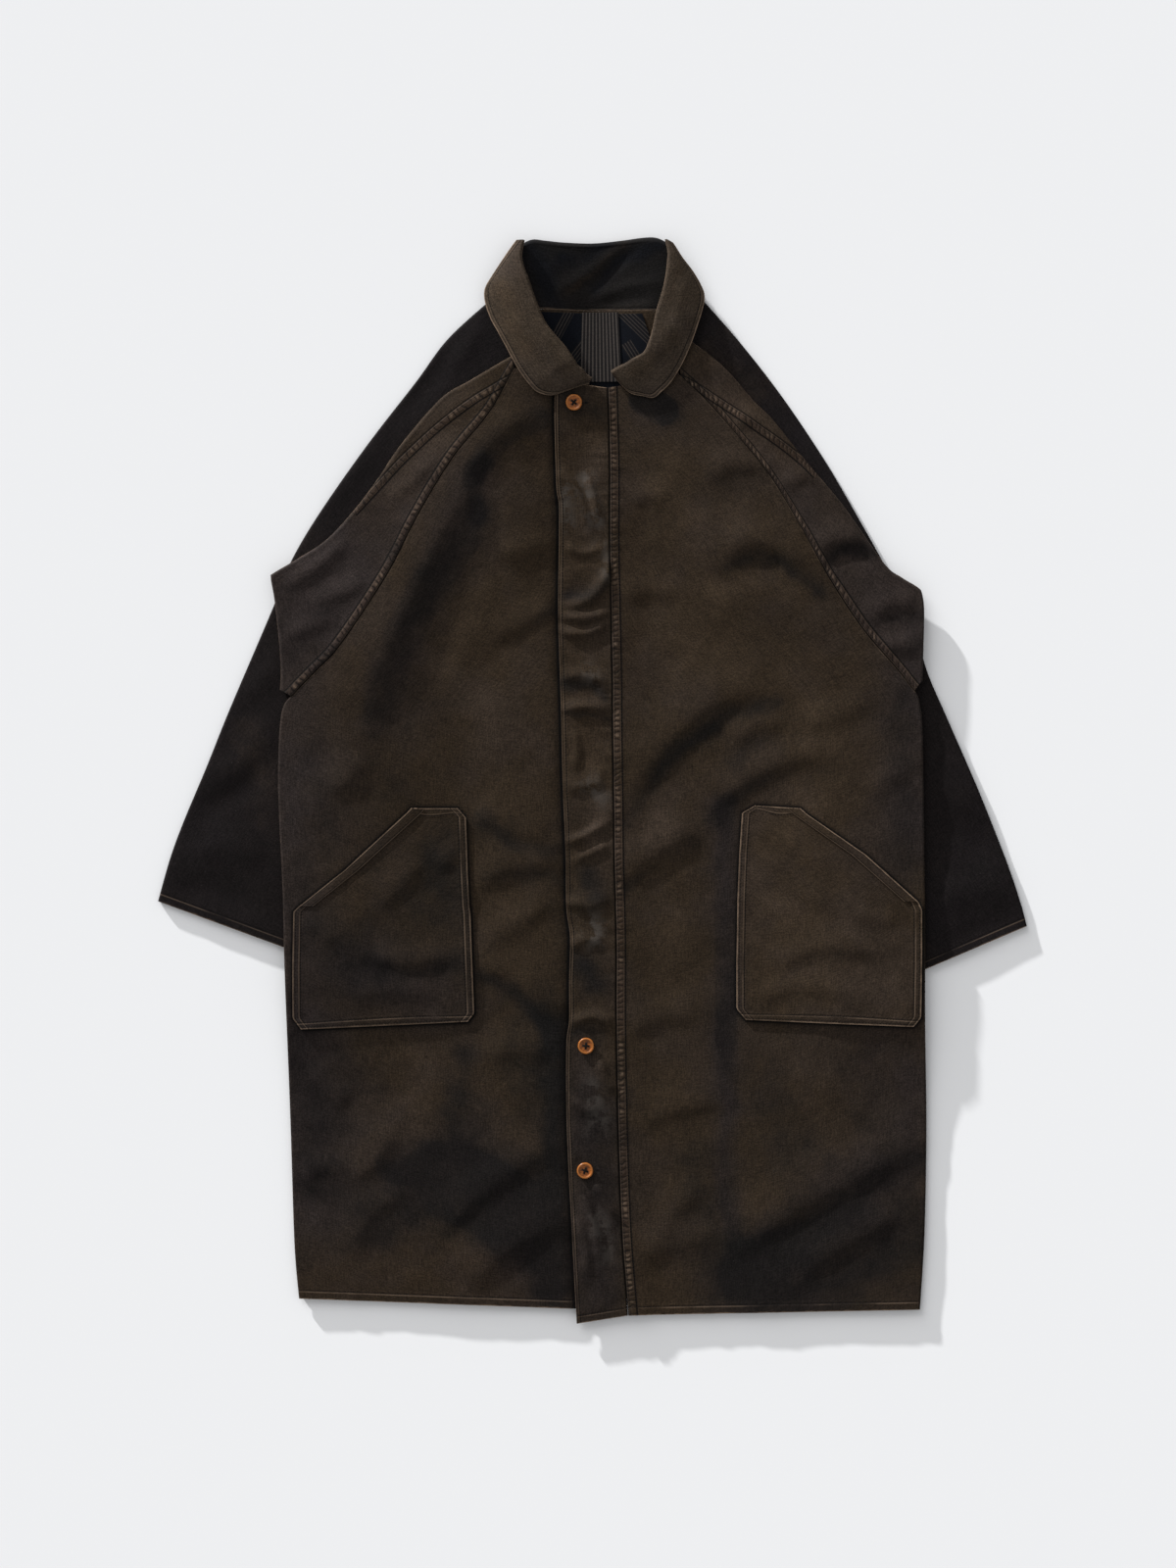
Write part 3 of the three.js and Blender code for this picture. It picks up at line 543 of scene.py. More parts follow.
POCKET_CREASES = [
    (2.6, 14, 9, ((-240, -186), (-206, -196), (-150, -190))),
    (2.0, 12, 9, ((-318, -152), (-296, -162), (-280, -180))),
    (2.2, 9, 18, ((-186, -84), (-206, -112), (-236, -138))),
    (1.8, 16, 10, ((-270, -236), (-216, -226), (-164, -232))),
    (2.0, 14, 10, ((-168, -96), (-154, -84), (-142, -86))),
    (2.0, 16, 12, ((180, -76), (214, -112), (264, -138))),
    (2.4, 14, 10, ((196, -202), (246, -180), (320, -186))),
    (2.0, 14, 10, ((176, -236), (226, -222), (282, -236))),
    (1.8, 12, 9, ((280, -140), (304, -150), (330, -150))),
]
LEAF_CREASES = [
    (1.4, 9, 8, ((-96, 544), (-86, 512), (-72, 484))),
    (-0.9, 8, 8, ((-70, 470), (-48, 446), (-26, 436))),
    (1.2, 7, 8, ((-88, 500), (-66, 476), (-56, 450))),
    (1.4, 9, 8, ((100, 544), (94, 506), (84, 476))),
    (-0.9, 8, 8, ((84, 462), (70, 440), (52, 430))),
    (1.2, 8, 7, ((80, 500), (96, 486), (106, 496))),
]

# Seams that the sewing draws in. Columns: height of the ripples, their spacing, reach from the seam, points.
FRONT_SEAMS = [
    (0.9, 7, 13, [(x, y) for _, _, x, y in FRONT_LEFT_SECTIONS]),
    (0.7, 10, 12, [(x, y) for x, y, _ in PLACKET_SECTIONS]),
    (0.6, 8, 13, [(x, y) for x, y, _, _ in FRONT_RIGHT_SECTIONS[:10]]),
    (0.6, 8, 13, [(x, y) for x, y, _, _ in FRONT_LEFT_SECTIONS[:10]]),
    (0.5, 9, 11, SHOULDER_SEAM_RIGHT),
    (0.5, 9, 11, SHOULDER_SEAM_LEFT),
    (0.6, 10, 16, [(-317, -561), (34, -574)]),
    (0.6, 10, 16, [(39, -579), (354, -573)]),
    (0.5, 8, 12, [(x, y) for x, y, _, _ in POCKET_RIGHT_SECTIONS]),
    (0.5, 8, 12, [(x, y) for _, _, x, y in POCKET_RIGHT_SECTIONS]),
    (0.5, 8, 12, [(x, y) for x, y, _, _ in POCKET_LEFT_SECTIONS]),
    (0.5, 8, 12, [(x, y) for _, _, x, y in POCKET_LEFT_SECTIONS]),
]
DEEPEST_TROUGH = -1.9

# Marks of dye that has darkened or rubbed lighter; many lie along the creases as painted shade on their sides
# away from the light and painted light on the others. Columns: amount from -1 dark to 1 light, half width,
# points.
DYE_AND_SHADE_MARKS = [
    (-0.42, 15, ((-50, 390), (-92, 372), (-122, 344), (-132, 326))),
    (-0.72, 13, ((-120, 344), (-132, 318), (-126, 290))),
    (-0.50, 20, ((-132, 284), (-160, 236), (-194, 176), (-214, 132), (-230, 66))),
    (0.50, 26, ((-86, 340), (-100, 290), (-92, 240), (-130, 190), (-160, 130))),
    (0.42, 34, ((-80, 130), (-110, 60), (-120, 0))),
    (0.30, 22, ((-180, 330), (-206, 268), (-240, 210))),
    (-0.50, 11, ((-44, 182), (-76, 164), (-100, 150))),
    (-0.38, 34, ((-318, 40), (-300, -40), (-318, -120))),
    (-0.30, 30, ((-250, 0), (-190, -6), (-150, 10))),
    (-0.80, 12, ((146, 234), (168, 244), (196, 243), (226, 222), (246, 204))),
    (0.46, 20, ((140, 204), (184, 218), (222, 196))),
    (0.40, 50, ((80, 330), (120, 270), (90, 150))),
    (0.34, 46, ((220, 120), (250, 40), (230, -20))),
    (-0.80, 12, ((34, -40), (70, 6), (112, 52), (154, 77), (198, 86))),
    (-0.50, 13, ((150, 26), (178, 44), (208, 48))),
    (-0.50, 18, ((120, 326), (154, 330), (176, 324))),
    (-0.62, 12, ((34, -116), (70, -90), (104, -70))),
    (0.44, 30, ((70, -40), (84, -150), (90, -300))),
    (-0.66, 14, ((134, -36), (168, -14), (210, 8), (250, 18))),
    (-0.30, 14, ((146, -30), (146, -150), (146, -300))),
    (-0.20, 14, ((146, -330), (146, -420), (150, -500))),
    (-0.47, 24, ((340, 88), (338, 0), (336, -100))),
    (0.40, 14, ((216, -300), (246, -344), (268, -390))),
    (-0.66, 24, ((350, -412), (290, -452), (228, -486), (166, -528))),
    (-0.40, 46, ((330, -520), (240, -548), (170, -556))),
    (-0.34, 40, ((200, -330), (220, -400), (300, -360))),
    (-0.50, 30, ((-318, -280), (-300, -350), (-304, -430))),
    (0.42, 30, ((-194, -290), (-190, -330), (-206, -376))),
    (0.36, 16, ((-118, -318), (-98, -366), (-74, -400))),
    (-0.55, 34, ((-206, -414), (-140, -424), (-70, -440))),
    (-0.45, 26, ((-200, -470), (-140, -480), (-60, -500))),
    (-0.50, 20, ((-140, -300), (-150, -360), (-140, -420))),
    (-0.66, 20, ((-36, -262), (-42, -360), (-40, -470), (-46, -552))),
    (0.46, 20, ((-290, -530), (-200, -536), (-84, -546))),
    (-0.60, 12, ((-132, -212), (-98, -220), (-66, -248), (-44, -284))),
    (0.42, 24, ((-112, -128), (-84, -150), (-62, -190))),
    (-0.62, 12, ((-126, -44), (-92, -64), (-44, -74))),
    (-0.50, 12, ((-110, -112), (-80, -106), (-42, -108))),
    (-0.34, 24, ((-290, -440), (-250, -470), (-240, -500))),
    (0.30, 22, ((64, -380), (74, -440), (60, -500))),
    (-0.20, 16, ((110, -400), (118, -470), (140, -540))),
    # Painted shadow that the left collar leaf casts on the front
    (-0.90, 17, ((54, 412), (78, 398))),
]
# Patches with crisp edges: pressed or wetted dye, and painted shade beside some of the creases. Columns:
# amount, half width, points.
DYE_AND_SHADE_PATCHES = [
    (-0.26, 20, ((-122, 288), (-160, 236), (-192, 180), (-216, 130), (-230, 64))),
    (-0.26, 14, ((-62, 392), (-98, 374), (-126, 334))),
    (-0.26, 11, ((145, -24), (145, -160), (145, -290))),
    (-0.10, 10, ((145, -250), (148, -400), (152, -500))),
    (-0.34, 24, ((-210, -412), (-160, -418), (-96, -446))),
    (-0.30, 40, ((-150, -436), (-96, -462), (-50, -520))),
    (-0.18, 36, ((174, -534), (262, -508), (346, -488))),
    (0.26, 24, ((-198, -300), (-196, -340), (-214, -386))),
    (0.22, 12, ((240, -300), (262, -346), (274, -396))),
    # Painted shadow that the left collar leaf casts on the front, the crisp core of the mark above
    (-0.50, 16, ((56, 412), (76, 400))),
]
# Marks of the other pieces, like those of the fronts: dye, and painted shade and painted light on the sides
# of their creases. Columns: amount, half width, points.
SLEEVE_FRONT_MARKS = [
    (0.47, 22, ((110, 420), (160, 390), (204, 352))),
    (-0.30, 24, ((280, 250), (320, 200), (340, 150))),
    (0.40, 16, ((-120, 404), (-164, 366), (-208, 300))),
    (-0.30, 26, ((-320, 210), (-300, 170), (-320, 130))),
    (-0.85, 9, ((250, 238), (272, 246), (296, 242))),
    (-0.45, 8, ((306, 168), (328, 178), (350, 176))),
    (-0.40, 8, ((-296, 184), (-268, 194), (-248, 204))),
]
PLACKET_MARKS = [
    # Painted shade under the right collar leaf
    (-0.60, 17, ((-26, 415), (10, 408))),
    (0.60, 14, ((-6, 372), (0, 344), (0, 280))),
    (-0.75, 9, ((16, 216), (-2, 200), (-26, 198))),
    (0.50, 9, ((-24, 226), (-6, 232), (8, 246))),
    (0.45, 8, ((-24, 146), (0, 140), (14, 142))),
    (-0.80, 9, ((-32, 102), (0, 106), (16, 98))),
    (-0.60, 5, ((-32, 72), (-6, 73), (18, 69))),
    (0.42, 16, ((-4, -60), (0, -30), (0, 60))),
    (-0.80, 16, ((-4, -100), (0, -124))),
    (-0.70, 16, ((-10, -196), (0, -214))),
    (-0.50, 12, ((-14, -268), (10, -276))),
    (-0.45, 26, ((0, -360), (6, -440), (10, -500), (10, -560))),
]
POCKET_MARKS = [
    (-0.30, 26, ((-300, -170), (-250, -200))),
    (0.30, 24, ((-306, -250), (-250, -252), (-160, -244))),
    (-0.34, 26, ((-160, -70), (-150, -120))),
    (-0.40, 11, ((-240, -200), (-200, -208), (-150, -202))),
    (0.30, 20, ((-250, -120), (-220, -90), (-190, -60))),
    (0.34, 40, ((190, -120), (250, -160), (320, -200))),
    (0.34, 30, ((176, -236), (260, -226), (330, -240))),
    (-0.34, 12, ((186, -64), (216, -104), (250, -124))),
    (-0.30, 12, ((200, -190), (246, -176), (300, -186))),
]
LEAF_MARKS = [
    (0.60, 14, ((-94, 530), (-84, 500), (-70, 460))),
    (-0.45, 10, ((-84, 548), (-78, 524), (-70, 506))),
    (-0.40, 12, ((-60, 496), (-44, 470), (-24, 446))),
    (0.30, 12, ((100, 540), (98, 516), (92, 496))),
    (-0.70, 12, ((104, 500), (88, 478), (66, 458), (44, 440))),
    (-0.45, 10, ((92, 560), (88, 540), (80, 516))),
]
COLLAR_BACK_MARKS = [
    (-0.81, 17, ((-66, 572), (-54, 548), (-42, 520))),
    (-0.68, 10, ((-30, 560), (-6, 562), (20, 578))),
    (0.51, 6, ((-30, 530), (6, 552), (34, 578))),
    (-0.77, 8, ((4, 536), (40, 562), (70, 578))),
    (0.30, 8, ((-20, 518), (20, 516), (56, 522))),
]
SLEEVE_MARKS = [
    (0.30, 20, ((-380, 60), (-360, 20), (-350, -40))),
    (-0.34, 26, ((-440, -90), (-400, -110), (-350, -130))),
    (0.26, 14, ((-430, -120), (-380, -150), (-330, -176))),
    (-0.30, 22, ((-150, 470), (-200, 410), (-260, 330))),
    (0.30, 16, ((120, 470), (150, 440), (176, 410))),
    (-0.30, 26, ((400, -60), (430, -110), (420, -150))),
    (0.26, 14, ((450, -150), (400, -176), (350, -200))),
]

# Patches of the placket that are rubbed smooth and shiny, with a grey tint that is partly rubbed wax and
# partly painted sheen. Columns: amount, half width, points.
PLACKET_RUBS_AND_SHEEN = [
    (1.0, 9, ((-6, 322), (0, 300), (8, 282))),
    (0.7, 8, ((-26, 312), (-24, 276))),
    (0.6, 8, ((10, 254), (12, 224))),
    (0.8, 10, ((-4, -6), (4, -14))),
    (0.9, 11, ((-6, -150), (4, -166))),
    (0.6, 9, ((0, 120), (10, 108))),
    (0.6, 10, ((0, -330), (6, -380))),
    (0.6, 9, ((4, -470), (14, -520))),
]

# Parts of the body that have turned from brown to grey. Columns: amount, half width, points.
GREY_MARKS = [
    (0.9, 50, ((-330, 240), (-330, 60), (-330, -120), (-320, -300), (-310, -470))),
    (0.9, 40, ((-236, -210), (-180, -236))),
    (0.7, 60, ((-200, -420), (-120, -440), (-60, -520))),
    (0.8, 46, ((352, 220), (352, 60), (346, -60))),
    (0.7, 60, ((340, -320), (300, -460), (220, -540))),
    (0.8, 14, ((144, -30), (144, -150), (144, -300), (148, -480))),
    (0.6, 24, ((-10, -300), (0, -420), (10, -560))),
    (0.5, 30, ((-132, 320), (-170, 230), (-224, 80))),
    (0.5, 30, ((110, 420), (60, 400))),
]

# Striped facings printed on the lining's twill. Columns: x, y of one end, x, y of the other, width.
STRIPED_FACINGS = [
    (-24, 510, -46, 468, 11),
    (-8, 474, -34, 440, 12),
    (30, 512, 72, 470, 15),
    (36, 474, 62, 432, 12),
]


# Colours that the panel leaves as they are, in linear light
SEAM_SHADE = (0.0032, 0.0028, 0.0028, 1)
RUBBED_GREY_AND_SHEEN = (0.055, 0.048, 0.042, 1)
LINT_COLOUR = (0.20, 0.19, 0.17, 1)
FACING_DARK = (0.008, 0.007, 0.0075, 1)
TAPE_DARK = ((0.006, 0.0055, 0.006, 1), (0.014, 0.012, 0.012, 1))
BUTTON_RIM_COLOUR = (0.42, 0.16, 0.035, 1)
BUTTON_HOLE_COLOUR = (0.02, 0.008, 0.004, 1)


class CoatSizes(bpy.types.PropertyGroup):
    """Sizes that a user may change"""

    shell_thickness: FloatProperty(
        name="Shell thickness", description="Shell and lining of a panel together",
        default=0.0018, min=0.001, max=0.002, subtype="DISTANCE", unit="LENGTH", precision=4,
    )
    pocket_thickness: FloatProperty(
        name="Pocket thickness", description="Cloth of a patch pocket",
        default=0.0016, min=0.001, max=0.0018, subtype="DISTANCE", unit="LENGTH", precision=4,
    )
    edge_round: FloatProperty(
        name="Rounding of cut edges", description="Width of the rounding along the edges of every cloth",
        default=0.00035, min=0.0001, max=0.0006, subtype="DISTANCE", unit="LENGTH", precision=5,
    )
    crease: FloatProperty(
        name="Creases", description="Strength of the hand placed creases",
        default=1.0, min=0.0, max=1.2, subtype="FACTOR",
    )
    rumple: FloatProperty(
        name="Rumple", description="Height of the slight unevenness between the creases",
        default=0.0005, min=0.0, max=0.0008, subtype="DISTANCE", unit="LENGTH", precision=5,
    )
    stitch_length: FloatProperty(
        name="Stitch length", description="Distance from one stitch of a seam to the next",
        default=0.0032, min=0.002, max=0.005, subtype="DISTANCE", unit="LENGTH", precision=4,
    )
    wear: FloatProperty(
        name="Wear", description="How far the dye is worn off seams and edges",
        default=1.0, min=0.0, max=1.5, subtype="FACTOR",
    )


def colour_property(name, description, default):
    """A colour of the panel, in linear light"""
    return FloatVectorProperty(
        name=name, description=description, default=default, size=3, min=0.0, max=1.0, subtype="COLOR"
    )


class CoatColours(bpy.types.PropertyGroup):
    """Colours that a user may change"""

    body: colour_property(
        "Body brown", "Dye of the body where it is neither dark nor rubbed", (0.0238, 0.0158, 0.0094)
    )
    faded: colour_property(
        "Rubbed brown", "Dye of the body where it is rubbed lighter", (0.0400, 0.0270, 0.0168)
    )
    charcoal: colour_property("Charcoal", "Dye of the body where it is darkest", (0.0074, 0.0066, 0.0062))
    sleeve: colour_property("Sleeve", "Dye of the sleeves", (0.0078, 0.0062, 0.0064))
    collar: colour_property("Collar", "Dye of the turned-down collar", (0.037, 0.0268, 0.0185))
    worn: colour_property(
        "Worn cotton", "Cotton that shows where the dye is worn off", (0.185, 0.130, 0.090)
    )
    lining: colour_property("Lining", "Twill inside the neck", (0.0032, 0.0038, 0.0056))
    stripe: colour_property("Stripe", "Light stripes of the tape and facings", (0.062, 0.053, 0.047))
    rust: colour_property(
        "Rust", "Reddish brown of the allowances beside the seams", (0.042, 0.0265, 0.0185)
    )
    thread: colour_property("Thread", "Sewing thread", (0.010, 0.008, 0.007))
    button: colour_property("Button", "Amber brown of the buttons", (0.27, 0.078, 0.011))
    floor: colour_property("Floor", "Plain pale floor", (0.80, 0.805, 0.815))


def sizes():
    return bpy.context.scene.coat_sizes


def colours():
    return bpy.context.scene.coat_colours


def smooth(start, end, value):
    share = np.clip((value - start) / (end - start), 0, 1)
    return share * share * (3 - 2 * share)


def look_up(table, key):
    """Second column of a table where its first column, which falls, has the given value"""
    keys, values = zip(*reversed(table))
    return np.interp(key, keys, values)


def lift(x, y):
    """How far the body is lifted by the sleeves that lie behind it"""
    right = x < 0
    edge = np.where(right, look_up(SLEEVE_INNER_RIGHT, y), look_up(SLEEVE_INNER_LEFT, y)) - SLEEVE_MARGIN
    cuff = np.where(right, SLEEVE_INNER_RIGHT[-1][0], SLEEVE_INNER_LEFT[-1][0]) - SLEEVE_MARGIN
    slope = np.minimum(LIFT_SLOPE, edge - 4)
    return BACK_LIFT * smooth(edge - slope, edge, np.abs(x)) * smooth(cuff - CUFF_SLOPE, cuff, y)


def soft_folds(x, y):
    total = np.zeros(np.shape(x))
    for x0, y0, x1, y1, half_width, height in FOLDS:
        run_x, run_y = x1 - x0, y1 - y0
        share = np.clip(((x - x0) * run_x + (y - y0) * run_y) / (run_x ** 2 + run_y ** 2), 0, 1)
        away = np.hypot(x - x0 - share * run_x, y - y0 - share * run_y)
        total += height * np.exp(-((away / half_width) ** 2))
    return total


def straight_points(table, column, rows):
    """Points on the straight lines between the rows of one pair of columns, for pieces with sharp corners"""
    return np.stack([column_at(table, column, rows), column_at(table, column + 1, rows)], axis=1)


def curve_points(table, column, rows):
    """Points of a smooth curve through one pair of columns of a table, at rows that may be fractions"""
    points = np.array([entry[column:column + 2] for entry in table], float)
    last = len(points) - 1
    start = np.minimum(np.floor(rows).astype(int), last - 1)
    t = (rows - start)[:, None]
    before, here, there, after = (points[np.clip(start + step, 0, last)] for step in (-1, 0, 1, 2))
    start_slope = (there - before) / 2
    end_slope = (after - here) / 2
    return (
        (2 * t ** 3 - 3 * t ** 2 + 1) * here
        + (t ** 3 - 2 * t ** 2 + t) * start_slope
        + (3 * t ** 2 - 2 * t ** 3) * there
        + (t ** 3 - t ** 2) * end_slope
    )


def column_at(table, column, rows):
    return np.interp(rows, np.arange(len(table)), [entry[column] for entry in table])


def through(points, count):
    """Smooth line through a few points, as many short steps"""
    rows = np.linspace(0, len(points) - 1, count)
    return curve_points(points, 0, rows)


def line_distance(points, x, y, bends=8):
    """Distance from a line through points, its side from -1 left to 1 right, and the share of its length"""
    line = through(points, bends * (len(points) - 1) + 1)
    best = np.full(np.shape(x), 1e9)
    side = np.zeros(np.shape(x))
    share = np.zeros(np.shape(x))
    pieces = len(line) - 1
    for index in range(pieces):
        (x0, y0), (x1, y1) = line[index], line[index + 1]
        run_x, run_y = x1 - x0, y1 - y0
        length = math.hypot(run_x, run_y)
        t = np.clip(((x - x0) * run_x + (y - y0) * run_y) / length ** 2, 0, 1)
        away_x = x - x0 - t * run_x
        away_y = y - y0 - t * run_y
        away = np.hypot(away_x, away_y)
        nearer = away < best
        turn = (run_y * away_x - run_x * away_y) / (length * np.maximum(away, 1e-6))
        side = np.where(nearer, turn, side)
        share = np.where(nearer, (index + t) / pieces, share)
        best = np.where(nearer, away, best)
    return best, side, share


def near(points, reach, x, y):
    """Part of a grid that lies within reach of a line, so that far points cost nothing"""
    xs, ys = zip(*points)
    return (
        (x > min(xs) - reach) & (x < max(xs) + reach) & (y > min(ys) - reach) & (y < max(ys) + reach)
    )


def creases(table, x, y):
    """Height that hand placed creases add: each fades towards its ends and may be steeper on one side"""
    total = np.zeros(np.shape(x))
    for height, left_width, right_width, points in table:
        part = near(points, CREASE_REACH * max(left_width, right_width), x, y)
        if not part.any():
            continue
        away, side, share = line_distance(points, x[part], y[part])
        width = left_width + (right_width - left_width) * (side + 1) / 2
        fade = smooth(0, CREASE_FADE, share) * smooth(0, CREASE_FADE, 1 - share)
        fade = CREASE_END_SHARE + (1 - CREASE_END_SHARE) * fade
        total[part] += height * fade * np.exp(-((away / width) ** 2))
    return total * sizes().crease


def patches(x, y):
    """Amount of the patches with crisp edges at each point"""
    total = np.zeros(np.shape(x))
    for amount, half_width, points in DYE_AND_SHADE_PATCHES:
        part = near(points, PATCH_REACH * half_width, x, y)
        if part.any():
            away = line_distance(points, x[part], y[part])[0]
            total[part] += amount * smooth(half_width * 1.2, half_width * 0.95, away)
    return total


def marks(table, x, y):
    """Amount of dye marks at each point"""
    total = np.zeros(np.shape(x))
    (broad, broad_spacing), (fine, fine_spacing) = MARK_WANDER
    x = (
        x + broad * lattice_noise(x, y, broad_spacing, MARK_SEED)
        + fine * lattice_noise(x, y, fine_spacing, MARK_SEED + 1)
    )
    y = (
        y + broad * lattice_noise(x, y, broad_spacing, MARK_SEED + 2)
        + fine * lattice_noise(x, y, fine_spacing, MARK_SEED + 3)
    )
    for amount, half_width, points in table:
        part = near(points, MARK_REACH * half_width, x, y)
        if part.any():
            away = line_distance(points, x[part], y[part])[0]
            total[part] += amount * np.exp(-((away / half_width) ** 2))
    return np.clip(total, -1, 1)


def outline_distance(points, x, y):
    """Distance from straight lines between points, or a long way where none of them is near"""
    reach = 24
    total = np.full(np.shape(x), 4.0 * reach)
    part = near(points, reach, x, y)
    total[part] = line_distance(points, x[part], y[part], bends=1)[0]
    return total


def lattice_noise(x, y, spacing, seed):
    """Smooth noise from -1 to 1 with hills about one spacing apart"""
    values = np.random.default_rng(seed).uniform(-1, 1, (LATTICE_SIZE, LATTICE_SIZE))
    u, v = x / spacing + LATTICE_PLACE[0], y / spacing + LATTICE_PLACE[1]
    i, j = np.floor(u).astype(int), np.floor(v).astype(int)
    s, t = u - i, v - j
    s, t = s * s * (3 - 2 * s), t * t * (3 - 2 * t)

    def corner(a, b):
        return values[(i + a) % LATTICE_SIZE, (j + b) % LATTICE_SIZE]

    low = corner(0, 0) * (1 - s) + corner(1, 0) * s
    high = corner(0, 1) * (1 - s) + corner(1, 1) * s
    return low * (1 - t) + high * t


def rumple(x, y, seed=RUMPLE_SEED):
    height = sizes().rumple / MILLIMETRE
    broad = lattice_noise(x, y, 46, seed) + 0.5 * lattice_noise(x + y, y - x, 34, seed + 1)
    return height * (broad + 0.35 * lattice_noise(x, y, 15, seed + 2))


def puckers(table, x, y):
    """Small uneven ripples across the seams, which the sewing draws in"""
    total = np.zeros(np.shape(x))
    for seed, (height, spacing, reach, points) in enumerate(table):
        part = near(points, 3 * reach, x, y)
        if not part.any():
            continue
        away, side, share = line_distance(points, x[part], y[part])
        run = share * np.hypot(*np.diff(np.array(points, float), axis=0).T).sum()
        ripple = lattice_noise(run, away * np.sign(side) * 0.35, spacing, PUCKER_SEED + seed)
        strength = 0.6 + 0.6 * lattice_noise(run, away, spacing * 5, PUCKER_STRENGTH_SEED + seed)
        total[part] += height * ripple * strength * np.exp(-away / reach)
    return total * sizes().crease


def back_height(x, y):
    return FLOOR_LAYER + lift(x, y)


def clear_of_buttons(x, y):
    clear = np.ones(np.shape(x))
    for _, button_x, button_y, _ in BUTTONS:
        clear *= smooth(*BUTTON_CLEARING, np.hypot(x - button_x, y - button_y))
    return clear


def front_height(x, y):
    """Middle of the fronts' cloth. The finer creases fade near the collar, which lies close on the fronts."""
    below_collar = smooth(425, 375, y) + smooth(105, 135, np.abs(x)) * smooth(470, 430, y)
    finer = creases(FRONT_CREASES, x, y) + puckers(FRONT_SEAMS, x, y) + rumple(x, y)
    finer = np.maximum(finer, DEEPEST_TROUGH) * np.clip(below_collar, 0, 1) * clear_of_buttons(x, y)
    return FRONT_REST + lift(x, y) + soft_folds(x, y) + finer


PLACKET_EDGE = [(x, y) for x, y, _ in PLACKET_SECTIONS]


def front_right_height(x, y):
    """The right front is pressed down a little beside the placket's free edge"""
    away = outline_distance(PLACKET_EDGE, x, y)
    return front_height(x, y) - PLACKET_PRESS * np.exp(-((away / PLACKET_PRESS_REACH) ** 2))


CENTRE_SEAM = [(seam_y, seam_x) for _, _, seam_x, seam_y in FRONT_LEFT_SECTIONS]


def front_left_height(x, y):
    seam = look_up(CENTRE_SEAM, y)
    return front_height(x, y) + PLACKET_RISE * (1 - smooth(0, RISE_WIDTH, x - seam))


def placket_height(x, y):
    own = PLACKET_CREASE_GAIN * creases(PLACKET_CREASES, x, y) * clear_of_buttons(x, y)
    return front_height(x, y) + PLACKET_RISE + own


def edge_distances(width, spacing):
    """Distances across each row, close together near both edges"""
    scale = np.minimum(1, width / (2.6 * EDGE_STEPS[-1]))[:, None]
    fine = EDGE_STEPS[None, :] * scale
    inside = width[:, None] - 2 * fine[:, -1:]
    count = max(2, math.ceil(float(inside.max()) / spacing))
    middle = fine[:, -1:] + inside * np.linspace(0, 1, count + 1)[None, 1:-1]
    return np.concatenate([fine, middle, width[:, None] - fine[:, ::-1]], axis=1)


def row_numbers(table, spacing, first=0, last=None, second_edge=None, edge=curve_points):
    """Row numbers of a section table, close together near its first and last row"""
    last = len(table) - 1 if last is None else last
    dense = np.linspace(first, last, 1200)
    edges = [edge(table, 0, dense), edge(table, 2, dense) if second_edge is None else second_edge(dense)]
    steps = [np.hypot(*np.diff(points, axis=0).T) for points in edges]
    length = np.concatenate([[0], np.cumsum(np.maximum(*steps))])
    wanted = edge_distances(np.array([length[-1]]), spacing)[0]
    return np.interp(wanted, length, dense)


class Ruled:
    """Lines ruled between two edges of a section table, at the given rows"""

    def __init__(self, table, rows, end=None, edge=curve_points):
        self.rows = rows
        self.start = edge(table, 0, rows)
        self.end = edge(table, 2, rows) if end is None else end(rows)
        self.width = np.hypot(*(self.end - self.start).T)

    def place(self, distances):
        share = distances / self.width[:, None]
        return (
            self.start[:, :1] + share * (self.end[:, :1] - self.start[:, :1]),
            self.start[:, 1:] + share * (self.end[:, 1:] - self.start[:, 1:]),
        )


def panel_surface(ruled, spacing, height, armpit_row=None, start_seam=None, end_seam=None):
    """Middle surface of a panel, whose seamed edges roll over in a quarter round below the armpit"""
    angles = np.radians(ROLL_ANGLES)
    below = 1 if armpit_row is None else smooth(armpit_row - 1, armpit_row, ruled.rows)[:, None]
    flat_start = np.zeros((len(ruled.rows), 1))
    flat_end = np.zeros((len(ruled.rows), 1))
    rings = {}
    for side, seam in (("start", start_seam), ("end", end_seam)):
        if seam is None:
            continue
        edge = np.zeros((len(ruled.rows), 1)) if side == "start" else ruled.width[:, None].copy()
        x, y = ruled.place(edge)
        drop = (height(x, y) - seam(x, y)) * below
        straight = np.sign(drop) * np.minimum(np.abs(drop) / 2, SEAM_STRAIGHT)
        turned = drop - straight
        reach = np.maximum(np.abs(turned), 0.8)
        inward = 1 if side == "start" else -1
        distances = edge + inward * reach * (1 - np.cos(angles[None, :-1]))
        drops = turned * (1 - np.sin(angles[None, :-1]))
        rings[side] = (np.concatenate([edge, distances], 1), np.concatenate([drop, drops], 1))
        if side == "start":
            flat_start = reach
        else:
            flat_end = reach
    inside = ruled.width - flat_start[:, 0] - flat_end[:, 0]
    distances = flat_start + edge_distances(inside, spacing)
    drops = np.zeros(distances.shape)
    if "start" in rings:
        distances = np.concatenate([rings["start"][0], distances], 1)
        drops = np.concatenate([rings["start"][1], drops], 1)
    if "end" in rings:
        distances = np.concatenate([distances, rings["end"][0][:, ::-1]], 1)
        drops = np.concatenate([drops, rings["end"][1][:, ::-1]], 1)
    x, y = ruled.place(distances)
    return np.stack([x, y, height(x, y) - drops], axis=2)


# Place of the fold itself among the columns of a folded panel
FOLD_COLUMN = 14


